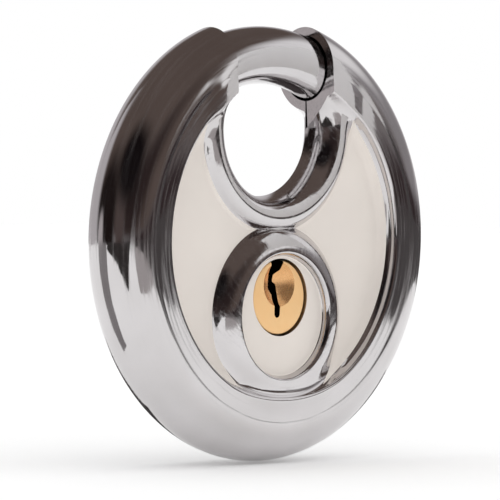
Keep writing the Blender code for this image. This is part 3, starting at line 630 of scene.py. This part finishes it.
def joined(name, sheets, side, materials, marks=None):
    """One object from the sheets. side is -1 for the front and 1 for the rear; marks picks the second
    material for the faces of the first sheet."""
    points = np.concatenate([s[0] for s in sheets])
    normals = np.concatenate([s[1] for s in sheets])
    world = np.stack([points[:, 0], side * points[:, 1], points[:, 2] + CENTRE_Z], axis=1) * MM
    normals = normals * np.array([1, side, 1])
    faces, picks, base = [], [], 0
    for index, (own, _, corners) in enumerate(sheets):
        corners = facing_out(world, normals, corners + base)
        faces += corners.tolist()
        picks.append(marks if index == 0 and marks is not None else np.zeros(len(corners), int))
        base += len(own)
    mesh = bpy.data.meshes.new(name)
    mesh.from_pydata(world.tolist(), [], faces)
    for material in materials:
        mesh.materials.append(material)
    mesh.polygons.foreach_set("material_index", np.concatenate(picks).astype(np.int32))
    mesh.shade_smooth()
    mesh.normals_split_custom_set_from_vertices(normals.tolist())
    return placed(name, mesh)


def placed(name, mesh):
    """An object in the scene for the mesh."""
    obj = bpy.data.objects.new(name, mesh)
    bpy.context.scene.collection.objects.link(obj)
    return obj


def facing_out(world, normals, corners):
    """Turns round each face whose winding is against its points' normals."""
    a, b, c = (world[corners[:, i]] for i in range(3))
    if corners.shape[1] == 4:
        across = np.cross(world[corners[:, 2]] - a, world[corners[:, 3]] - b)
    else:
        across = np.cross(b - a, c - a)
    against = (across * normals[corners].mean(axis=1)).sum(axis=1) < 0
    corners = corners.copy()
    corners[against] = corners[against][:, ::-1]
    return corners


# Turned and cut pieces. Their meshes are closed solids, in mm from the disc's centre.

def solid(name, points, faces):
    """A closed mesh whose faces all look outward."""
    mesh = bpy.data.meshes.new(name)
    mesh.from_pydata([Vector((x, y, z + CENTRE_Z)) * MM for x, y, z in points], [], faces)
    shape = bmesh.new()
    shape.from_mesh(mesh)
    bmesh.ops.recalc_face_normals(shape, faces=shape.faces)
    shape.to_mesh(mesh)
    shape.free()
    return placed(name, mesh)


def swept_rings(name, rings):
    """A solid through rings of equally many points, with flat ends."""
    count = len(rings[0])
    faces = [list(range(count)), list(range((len(rings) - 1) * count, len(rings) * count))[::-1]]
    for ring in range(len(rings) - 1):
        for i in range(count):
            a, b = ring * count + i, ring * count + (i + 1) % count
            faces.append((b, a, a + count, b + count))
    return solid(name, [p for ring in rings for p in ring], faces)


def turned(name, profile, centre):
    """A profile of (radius, distance towards the front) turned about an axis through centre, (x, z)."""
    turn = [2 * math.pi * i / TURN_COUNT for i in range(TURN_COUNT)]
    x, z = centre
    rings = [[(x + r * math.sin(t), -h, z + r * math.cos(t)) for t in turn] for r, h in profile]
    return swept_rings(name, rings)


def prism(name, outline, near, far):
    """An outline of (x, z) points between two distances back from the middle plane."""
    return swept_rings(name, [[(x, y, z) for x, z in outline] for y in (near, far)])


def cut(obj, tools):
    """Takes the tools away from the piece, and leaves plain mesh with crisp edges."""
    for tool in tools:
        modifier = obj.modifiers.new(tool.name, "BOOLEAN")
        modifier.operation = "DIFFERENCE"
        modifier.solver = "EXACT"
        modifier.object = tool
    made = bpy.data.meshes.new_from_object(obj.evaluated_get(bpy.context.evaluated_depsgraph_get()))
    obj.modifiers.clear()
    obj.data = made
    for tool in tools:
        bpy.data.objects.remove(tool)
    made.shade_smooth()
    made.set_sharp_from_angle(angle=SHARP_ANGLE)


def clockwise(place, angle):
    """A place (x, z) turned clockwise, as seen from the front, about the disc's centre."""
    x, z = place
    cos, sin = math.cos(angle), math.sin(angle)
    return x * cos + z * sin, z * cos - x * sin


def bar_solid(bar_radius):
    """The curved bar, rounded at both ends, with the drive pin's slot in its tail."""
    lead = BAR_ROUND / PITCH_RADIUS
    first, last = math.radians(BAR_TIP), math.radians(BAR_TAIL)
    turns = np.radians(range(0, 91, 15))
    ends = [(lead * (1 - math.cos(t)), bar_radius - BAR_ROUND * (1 - math.sin(t))) for t in turns]
    between = np.linspace(first + lead, last - lead, BAR_COUNT)[1:-1]
    stations = [(first + a, r) for a, r in ends] + [(a, bar_radius) for a in between]
    stations += [(last - a, r) for a, r in reversed(ends)]
    section = [2 * math.pi * i / BAR_SIDES for i in range(BAR_SIDES)]
    rings = []
    for angle, radius in stations:
        ring = []
        for t in section:
            out = PITCH_RADIUS + radius * math.cos(t)
            ring.append((out * math.sin(angle), radius * math.sin(t), out * math.cos(angle)))
        rings.append(ring)
    bar = swept_rings("curved_bar", rings)
    bend = np.radians(range(-90, 91, 10))
    outline = [(-PIN_SLOT_HALF, PITCH_RADIUS - 2 * bar_radius)]
    outline += [(PIN_SLOT_HALF * math.sin(t), PIN_SLOT_END + PIN_SLOT_HALF * math.cos(t)) for t in bend]
    outline.append((PIN_SLOT_HALF, PITCH_RADIUS - 2 * bar_radius))
    outline = [clockwise(p, math.radians(PIN_SLOT_ANGLE)) for p in outline]
    cut(bar, [prism("pin_slot", outline, PIN_SLOT_FRONT, 2 * bar_radius)])
    return bar


def plug_blank(radius):
    """The plug before it is cut, rounded at its face, with a grooved tail behind."""
    face = [
        (radius - PLUG_ROUND * (1 - math.sin(t)), PLUG_FRONT - PLUG_ROUND * (1 - math.cos(t)))
        for t in np.radians(range(0, 91, 18))
    ]
    front, back = TAIL_GROOVE
    tail = [
        (radius, -TAIL_START), (TAIL_RADIUS, -TAIL_START), (TAIL_RADIUS, -front), (TAIL_NECK, -front),
        (TAIL_NECK, -back), (TAIL_RADIUS, -back), (TAIL_RADIUS, -TAIL_END),
    ]
    return turned("key_plug", [(FACE_CENTRE, PLUG_FRONT), *face, *tail], (0.0, -PLUG_DROP))


def scoop_tool(radius, depth):
    """The ball that mills the dish into the plug's face."""
    ball = (radius**2 + depth**2) / (2 * depth)
    middle = PLUG_FRONT - depth + ball
    bowl = [(ball * math.sin(t), middle - ball * math.cos(t)) for t in np.radians(range(1, 72, 2))]
    return turned("scoop", bowl, (SCOOP_SIDE, SCOOP_RISE - PLUG_DROP))


def keyway_tool():
    """The S-shaped slot for the key, with a round foot."""
    x, z = KEYWAY_FOOT
    bend = np.radians(range(90, 271, 15))
    foot = [(x + KEYWAY_FOOT_RADIUS * math.sin(t), z + KEYWAY_FOOT_RADIUS * math.cos(t)) for t in bend]
    outline = [(x, z - PLUG_DROP) for x, z in [*KEYWAY_RIGHT, *foot, *KEYWAY_LEFT]]
    return prism("keyway", outline, -PLUG_FRONT - OVERCUT, KEYWAY_END)


def tail_flat_tool(side):
    """What is filed off one side of the tail."""
    near, far, reach = side * TAIL_FLAT, side * TAIL_FLAT_REACH, TAIL_FLAT_REACH
    flat = [(near, reach), (far, reach), (far, -reach), (near, -reach)]
    flat = [clockwise(p, TAIL_FLAT_ANGLE) for p in flat]
    return prism("tail_flat", [(x, z - PLUG_DROP) for x, z in flat], TAIL_START, TAIL_GROOVE[0])


def pin_hole_tool(back):
    """The drill for one key pin, that far back from the middle plane."""
    turn = np.linspace(0, 2 * math.pi, PIN_HOLE_COUNT + 1)[:-1]
    hole = [(PIN_HOLE_RADIUS * math.cos(a), PIN_HOLE_RADIUS * math.sin(a) + back) for a in turn]
    rings = [[(x, y, -PLUG_DROP - drop) for x, y in hole] for drop in PIN_HOLE_DROPS]
    return swept_rings("pin_hole", rings)


def plug_solid(radius, scoop_radius, scoop_depth):
    """The key plug: dished round its keyway, with pin holes and a flatted tail."""
    plug = plug_blank(radius)
    tools = [scoop_tool(scoop_radius, scoop_depth), keyway_tool(), tail_flat_tool(-1), tail_flat_tool(1)]
    cut(plug, tools + [pin_hole_tool(back) for back in PIN_PLACES])
    return plug


def plug_finish(face, radius, scoop_depth):
    """Which of the plug's materials a face has: 0 its face and skin, 1 the keyway, darkened as painted shade,
    2 the scoop.
    """
    x, y, z = face.center / MM
    away = math.hypot(x, z - CENTRE_Z + PLUG_DROP)
    wall = abs(face.normal.y) < WALL_FACING and away < radius - FACE_SLACK and y < KEYWAY_END + FACE_SLACK
    if wall or abs(y - KEYWAY_END) < FACE_SLACK:
        return 1
    inside = away < radius - PLUG_ROUND - FACE_SLACK
    sunk = SCOOP_EDGE < y + PLUG_FRONT < scoop_depth + FACE_SLACK
    return 2 if inside and sunk else 0


# Materials

def add(tree, kind, sockets=None, **settings):
    """A node with its settings and inputs. An input that is given another node's output is linked."""
    node = tree.nodes.new(kind)
    for key, value in settings.items():
        setattr(node, key, value)
    for key, value in (sockets or {}).items():
        if isinstance(value, bpy.types.NodeSocket):
            tree.links.new(value, node.inputs[key])
        else:
            node.inputs[key].default_value = value
    return node


def new_material(name):
    """A material, its node tree and its shader."""
    material = bpy.data.materials.new(name)
    material.use_nodes = True
    tree = material.node_tree
    return material, tree, tree.nodes["Principled BSDF"]


def round_disc_place(tree):
    """Places in mm from the disc's centre, and the same with the radius, depth and angle in place of x, y
    and z, for marks that run round with the polishing wheel."""
    place = add(tree, "ShaderNodeTexCoord").outputs["Object"]
    scale = (1 / MM, 1 / MM, 1 / MM)
    moved = add(tree, "ShaderNodeMapping", {0: place, "Location": (0, 0, -CENTRE_Z), "Scale": scale})
    split = add(tree, "ShaderNodeSeparateXYZ", {0: moved.outputs[0]})
    flat = add(tree, "ShaderNodeCombineXYZ", {0: split.outputs[0], 1: split.outputs[2]})
    radius = add(tree, "ShaderNodeVectorMath", {0: flat.outputs[0]}, operation="LENGTH")
    angle = add(tree, "ShaderNodeMath", {0: split.outputs[0], 1: split.outputs[2]}, operation="ARCTAN2")
    parts = {0: radius.outputs["Value"], 1: split.outputs[1], 2: angle.outputs[0]}
    return moved.outputs[0], add(tree, "ShaderNodeCombineXYZ", parts).outputs[0]


def finish(tree, shader, marks, cloud, roughness, spread, colour, shade, relief, metallic):
    """Wires a metal's surface: marks vary the roughness and stand up a little, and cloud varies the colour.
    spread is the range of the marks that the roughness follows. relief is how strongly the marks show and
    how high they are, in mm."""
    marks, cloud = marks.outputs[0], cloud.outputs[0]
    low, high = roughness
    first, last = spread
    strength, height = relief
    rough = add(tree, "ShaderNodeMapRange", {0: marks, 1: first, 2: last, 3: low, 4: high})
    tint = add(tree, "ShaderNodeMixRGB", {0: cloud, 1: tuple(colour), 2: linear(shade)})
    bump = add(tree, "ShaderNodeBump", {"Strength": strength, "Distance": height * MM, "Height": marks})
    tree.links.new(rough.outputs[0], shader.inputs["Roughness"])
    tree.links.new(tint.outputs[0], shader.inputs["Base Color"])
    tree.links.new(bump.outputs[0], shader.inputs["Normal"])
    shader.inputs["Metallic"].default_value = metallic


def polished_steel(name, colour):
    """Stainless steel, polished on a wheel: clear, dark-and-light reflections, which fine marks that run
    round the rim blur in streaks. The marks are drawn coarser than the real ones, so that they show."""
    material, tree, shader = new_material(name)
    place, around = round_disc_place(tree)
    marks = add(tree, "ShaderNodeTexNoise", {"Vector": around, "Scale": 1 / POLISH_MARK, "Detail": 3.0})
    haze = add(tree, "ShaderNodeTexNoise", {"Vector": place, "Scale": 1 / POLISH_HAZE, "Detail": 2.0})
    finish(
        tree, shader, marks, haze, roughness=(0.05, 0.22), spread=(0.42, 0.7), colour=colour, shade="#c9c6c6",
        relief=(0.03, 0.2), metallic=1.0,
    )
    return material


def satin_steel(name, colour):
    """Stainless steel, bead-blasted: an even, warm, nearly matt sheen with a fine grain, which scatters so
    much light that it is drawn as mostly matt. The grain is drawn coarser than the real one."""
    material, tree, shader = new_material(name)
    place = add(tree, "ShaderNodeTexCoord").outputs["Object"]
    grain = add(tree, "ShaderNodeTexNoise", {"Vector": place, "Scale": 1 / SATIN_GRAIN / MM, "Detail": 3.0})
    cloud = add(tree, "ShaderNodeTexNoise", {"Vector": place, "Scale": 1 / SATIN_CLOUD / MM, "Detail": 3.0})
    finish(
        tree, shader, grain, cloud, roughness=(0.42, 0.52), spread=(0.3, 0.7), colour=colour, shade="#eae2db",
        relief=(0.12, 0.05), metallic=0.2,
    )
    return material


def turned_metal(name, colour, shade, roughness, metallic):
    """Metal from the lathe or mill, or plated: a soft sheen that tool marks vary a little from place to
    place. A lower metallic value stands for a duller, grained surface that scatters light."""
    material, tree, shader = new_material(name)
    place = add(tree, "ShaderNodeTexCoord").outputs["Object"]
    marks = add(tree, "ShaderNodeTexNoise", {"Vector": place, "Scale": 1 / TOOL_MARK / MM, "Detail": 3.0})
    cloud = add(tree, "ShaderNodeTexNoise", {"Vector": place, "Scale": 1 / TOOL_CLOUD / MM, "Detail": 2.0})
    finish(
        tree, shader, marks, cloud, roughness=(roughness, roughness + 0.12), spread=(0.3, 0.7), colour=colour,
        shade=shade, relief=(0.1, 0.05), metallic=metallic,
    )
    return material


def set_material(node, material):
    """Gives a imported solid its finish."""
    mesh = frame["nodes"][node].data
    mesh.materials.clear()
    mesh.materials.append(material)


# Stage

def studio_world(scene):
    """A white studio. Mirrors in it also see its dark ceiling and flags, whose edges are soft."""
    world = bpy.data.worlds.new("white_studio")
    world.use_nodes = True
    tree = world.node_tree
    way = add(tree, "ShaderNodeTexCoord").outputs["Generated"]
    split = add(tree, "ShaderNodeSeparateXYZ", {0: way})
    front = add(tree, "ShaderNodeMath", {0: split.outputs[1], 1: -1.0}, operation="MULTIPLY")
    azimuth = add(tree, "ShaderNodeMath", {0: split.outputs[0], 1: front.outputs[0]}, operation="ARCTAN2")
    rise = add(tree, "ShaderNodeMath", {0: split.outputs[2]}, operation="ARCSINE")
    place = add(tree, "ShaderNodeCombineXYZ", {0: azimuth.outputs[0], 1: rise.outputs[0]})
    seen = linear(ROOM)
    for colour, centre, half, lean, softness in FLAGS:
        flag = {
            "Vector": place.outputs[0],
            "Location": (*np.radians(centre), 0),
            "Rotation": (0, 0, math.radians(lean)),
            "Scale": (*np.radians(half), 1),
        }
        own = add(tree, "ShaderNodeMapping", flag, vector_type="TEXTURE")
        away = add(tree, "ShaderNodeVectorMath", {0: own.outputs[0]}, operation="LENGTH")
        edge = {0: away.outputs["Value"], 1: 1 + softness, 2: 1 - softness}
        cover = add(tree, "ShaderNodeMapRange", edge, interpolation_type="SMOOTHSTEP")
        seen = add(tree, "ShaderNodeMixRGB", {0: cover.outputs[0], 1: seen, 2: linear(colour)}).outputs[0]
    mirror = add(tree, "ShaderNodeLightPath").outputs["Is Glossy Ray"]
    light = add(tree, "ShaderNodeMixRGB", {0: mirror, 1: (1, 1, 1, 1), 2: seen})
    tree.links.new(light.outputs[0], tree.nodes["Background"].inputs[0])
    scene.world = world


def sheet_of(name, corners, material):
    """A flat piece of the stage, corners in mm."""
    mesh = bpy.data.meshes.new(name)
    mesh.from_pydata([Vector(c) * MM for c in corners], [], [range(len(corners))])
    mesh.materials.append(material)
    obj = placed(name, mesh)
    return obj


def board(name, colour, roughness, corners):
    """A flat, matt painted board that only mirrors see, as an even patch of its colour."""
    material, _, shader = new_material(f"{name}_paint")
    shader.inputs["Base Color"].default_value = linear(colour)
    shader.inputs["Roughness"].default_value = roughness
    obj = sheet_of(name, corners, material)
    obj.visible_camera = False
    obj.visible_diffuse = False
    obj.visible_shadow = False
    obj.visible_transmission = False


def floor():
    """A pale, matt painted floor: it looks white, since what the camera and mirrors see of it is lifted a
    little, and the lock's shadow stays on it."""
    reach, rise = FLOOR_REACH, CENTRE_Z - DISC_RADIUS - FLOOR_GAP
    material, tree, shader = new_material("pale_floor_paint")
    shader.inputs["Base Color"].default_value = linear("#fafafa")
    shader.inputs["Roughness"].default_value = 1.0
    shader.inputs["Emission Color"].default_value = (1, 1, 1, 1)
    path = add(tree, "ShaderNodeLightPath")
    rays = {0: path.outputs["Is Camera Ray"], 1: path.outputs["Is Glossy Ray"]}
    seen = add(tree, "ShaderNodeMath", rays, operation="MAXIMUM")
    lift = add(tree, "ShaderNodeMath", {0: seen.outputs[0], 1: FLOOR_LIFT}, operation="MULTIPLY")
    tree.links.new(lift.outputs[0], shader.inputs["Emission Strength"])
    corners = [(-reach, -reach, rise), (reach, -reach, rise), (reach, reach, rise), (-reach, reach, rise)]
    sheet_of("floor", corners, material)


def dark_ground():
    """The darker ground round the white floor, and the shade behind and before the lock."""
    rise = CENTRE_Z - DISC_RADIUS - GROUND_GAP
    for name, colour, outline in GROUND:
        board(f"ground_{name}", colour, 0.8, [(x, y, rise) for x, y in outline])


def bar_card():
    """A small white card in front of the opening, so that the bar sees white at its own height."""
    board("card", "#ffffff", 0.9, CARD)


def place_camera(scene, stage):
    """The camera, whose lens gives the set number of pixels for each millimetre at its target."""
    data = bpy.data.cameras.new("camera")
    data.sensor_width = SENSOR
    data.lens = stage.scale * stage.distance / MM * data.sensor_width / PICTURE
    data.clip_start = CLIP_START
    camera = bpy.data.objects.new("camera", data)
    scene.collection.objects.link(camera)
    e, a = stage.elevation, stage.azimuth
    away = Vector((math.sin(a) * math.cos(e), -math.cos(a) * math.cos(e), math.sin(e)))
    camera.location = Vector(stage.target) + away * stage.distance
    camera.rotation_euler = away.to_track_quat("Z", "Y").to_euler()
    scene.camera = camera


# Sizes and colours that a user would change

class PadlockShape(bpy.types.PropertyGroup):
    """Sizes of the bar and the key plug"""

    bar_radius: FloatProperty(
        name="Bar radius", description="Half the bar's thickness", default=4.5 * MM, unit="LENGTH"
    )
    plug_radius: FloatProperty(
        name="Plug radius", description="Radius of the key plug", default=5.8 * MM, unit="LENGTH"
    )
    scoop_radius: FloatProperty(
        name="Scoop radius", description="Radius of the plug's dish", default=3.5 * MM, unit="LENGTH"
    )
    scoop_depth: FloatProperty(
        name="Scoop depth", description="Depth of the plug's dish", default=1.25 * MM, unit="LENGTH"
    )


class PadlockFinish(bpy.types.PropertyGroup):
    """Colours of the metals that show"""

    polished: FloatVectorProperty(
        name="Polished steel", description="Colour of the case", default=linear("#dad7d8"), size=4,
        subtype="COLOR",
    )
    satin: FloatVectorProperty(
        name="Satin steel", description="Colour of the flats", default=linear("#f6eee6"), size=4,
        subtype="COLOR",
    )
    bar: FloatVectorProperty(
        name="Bar", description="Colour of the bar", default=linear("#d8d6d8"), size=4, subtype="COLOR"
    )
    brass: FloatVectorProperty(
        name="Brass", description="Colour of the key plug", default=linear("#ffd69c"), size=4, subtype="COLOR"
    )


class PadlockStage(bpy.types.PropertyGroup):
    """Where the camera stands"""

    azimuth: FloatProperty(
        name="Azimuth", description="Angle round the lock", default=math.radians(-46), subtype="ANGLE"
    )
    elevation: FloatProperty(
        name="Elevation", description="Angle above the lock", default=math.radians(2), subtype="ANGLE"
    )
    distance: FloatProperty(name="Distance", description="Camera to lock", default=1.0, unit="LENGTH")
    target: FloatVectorProperty(
        name="Target", description="The point that the camera looks at", default=(-0.0009, 0.0009, -0.02618),
        unit="LENGTH",
    )
    scale: FloatProperty(
        name="Scale", description="Pixels for each millimetre at the target, in a picture 500 pixels wide",
        default=6.357,
    )


class PADLOCK_OT_front(bpy.types.Operator):
    """Builds the front pressing of the case"""

    bl_idname = "padlock.front"
    bl_label = "Front of the case"

    def execute(self, context):
        colours = context.scene.padlock_finish
        steel = polished_steel("polished_stainless_case", colours.polished)
        satin = satin_steel("satin_stainless_flats", colours.satin)
        middle = middle_sheet(front_case, front_creases(), True)
        marks = satin_faces(middle[0], middle[2])
        sheets = [middle, rim_sheet(front_case, RIM_COUNT), lip_sheet(front_case), hole_sheet()]
        sheets += mouth_sheets(front_case)
        piece = joined("case_front", sheets, -1, [steel, satin], marks)
        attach(piece, "case")
        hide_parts("front_shell")
        return {"FINISHED"}


class PADLOCK_OT_rear(bpy.types.Operator):
    """Builds the rear pressing of the case"""

    bl_idname = "padlock.rear"
    bl_label = "Rear of the case"

    def execute(self, context):
        steel = polished_steel("polished_stainless_rear", context.scene.padlock_finish.polished)
        middle = middle_sheet(rear_case, rear_creases(), False)
        sheets = [middle, rim_sheet(rear_case, REAR_RIM_COUNT), lip_sheet(rear_case)]
        sheets += mouth_sheets(rear_case)
        piece = joined("case_rear", sheets, 1, [steel])
        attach(piece, "case")
        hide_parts("rear_shell")
        return {"FINISHED"}


class PADLOCK_OT_bar(bpy.types.Operator):
    """Builds the curved bar"""

    bl_idname = "padlock.bar"
    bl_label = "Bar"

    def execute(self, context):
        bar = bar_solid(in_mm(context.scene.padlock_shape.bar_radius))
        steel = polished_steel("ground_stainless_bar_finish", context.scene.padlock_finish.bar)
        bar.data.materials.append(steel)
        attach(bar, "shackle")
        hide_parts("shackle")
        return {"FINISHED"}


class PADLOCK_OT_lock(bpy.types.Operator):
    """Builds the key plug and finishes the pieces inside"""

    bl_idname = "padlock.lock"
    bl_label = "Lock cylinder"

    def execute(self, context):
        shape = context.scene.padlock_shape
        radius, depth = in_mm(shape.plug_radius), in_mm(shape.scoop_depth)
        plug = plug_solid(radius, in_mm(shape.scoop_radius), depth)
        colour = context.scene.padlock_finish.brass
        # the slot's colour is painted shade, the dark of the deep keyway coloured onto its walls
        slot, dish = linear("#1c0e06"), linear("#f2c08c")
        brasses = (
            # a pale yellow face with a soft sheen
            turned_metal("machined_brass_plug", colour, "#ffca8c", roughness=0.3, metallic=0.22),
            # painted shade: the keyway's walls and end are coloured brown, nearly black, for the shade deep
            # in the slot
            turned_metal("keyway_brass_painted_shade", slot, "#120904", roughness=0.5, metallic=1.0),
            # a deeper gold dish with clearer reflections
            turned_metal("milled_brass_scoop", dish, "#dda468", roughness=0.22, metallic=0.75),
        )
        for brass in brasses:
            plug.data.materials.append(brass)
        for face in plug.data.polygons:
            face.material_index = plug_finish(face, radius, depth)
        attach(plug, "plug")
        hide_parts("plug")
        oiled, plated, wire = linear("#6a4520"), linear("#b9bab4"), linear("#a8a6a0")
        inside = {
            # dark brown under its film of oil
            "machined_brass": turned_metal("oiled_brass_body", oiled, "#4a2e14", roughness=0.4, metallic=1.0),
            # a cool, even grey
            "zinc_plated_steel": turned_metal(
                "zinc_plated_steel_parts", plated, "#9fa09a", roughness=0.35, metallic=1.0
            ),
            # a darker grey with a sheen along the wire
            "spring_steel": turned_metal("drawn_spring_steel", wire, "#8c8a86", roughness=0.3, metallic=1.0),
        }
        for part in frame["record"]["subparts"]:
            if part["node"] != "plug" and part["material_slot"] in inside:
                set_material(part["node"], inside[part["material_slot"]])
        return {"FINISHED"}


class PADLOCK_OT_stage(bpy.types.Operator):
    """Sets the floor, the cards that the steel reflects, the light and the camera"""

    bl_idname = "padlock.stage"
    bl_label = "Stage"

    def execute(self, context):
        stage = context.scene.padlock_stage
        scene = context.scene
        scene.view_settings.view_transform = "Standard"
        studio_world(scene)
        floor()
        dark_ground()
        bar_card()
        place_camera(scene, stage)
        return {"FINISHED"}


class PADLOCK_PT_panel(bpy.types.Panel):
    """Lists the padlock's pieces and settings"""

    bl_idname = "PADLOCK_PT_panel"
    bl_label = "Disc padlock"
    bl_space_type = "VIEW_3D"
    bl_region_type = "UI"
    bl_category = "Disc padlock"

    def draw(self, context):
        scene = context.scene
        for settings in (scene.padlock_shape, scene.padlock_finish, scene.padlock_stage):
            for key in settings.__annotations__:
                self.layout.prop(settings, key)
        for operator in OPERATORS:
            self.layout.operator(operator.bl_idname)


SETTINGS = (PadlockShape, PadlockFinish, PadlockStage)
OPERATORS = (PADLOCK_OT_front, PADLOCK_OT_rear, PADLOCK_OT_bar, PADLOCK_OT_lock, PADLOCK_OT_stage)


def register():
    """Adds the settings, operators and panel to Blender."""
    for item in (*SETTINGS, *OPERATORS, PADLOCK_PT_panel):
        bpy.utils.register_class(item)
    bpy.types.Scene.padlock_shape = PointerProperty(type=PadlockShape)
    bpy.types.Scene.padlock_finish = PointerProperty(type=PadlockFinish)
    bpy.types.Scene.padlock_stage = PointerProperty(type=PadlockStage)


def unregister():
    """Takes them away again."""
    del bpy.types.Scene.padlock_stage
    del bpy.types.Scene.padlock_finish
    del bpy.types.Scene.padlock_shape
    for item in reversed((*SETTINGS, *OPERATORS, PADLOCK_PT_panel)):
        bpy.utils.unregister_class(item)


def main():
    """Builds the lock and its stage."""
    register()
    bpy.ops.padlock.front()
    bpy.ops.padlock.rear()
    bpy.ops.padlock.bar()
    bpy.ops.padlock.lock()
    bpy.ops.padlock.stage()


if __name__ == "__main__":
    main()
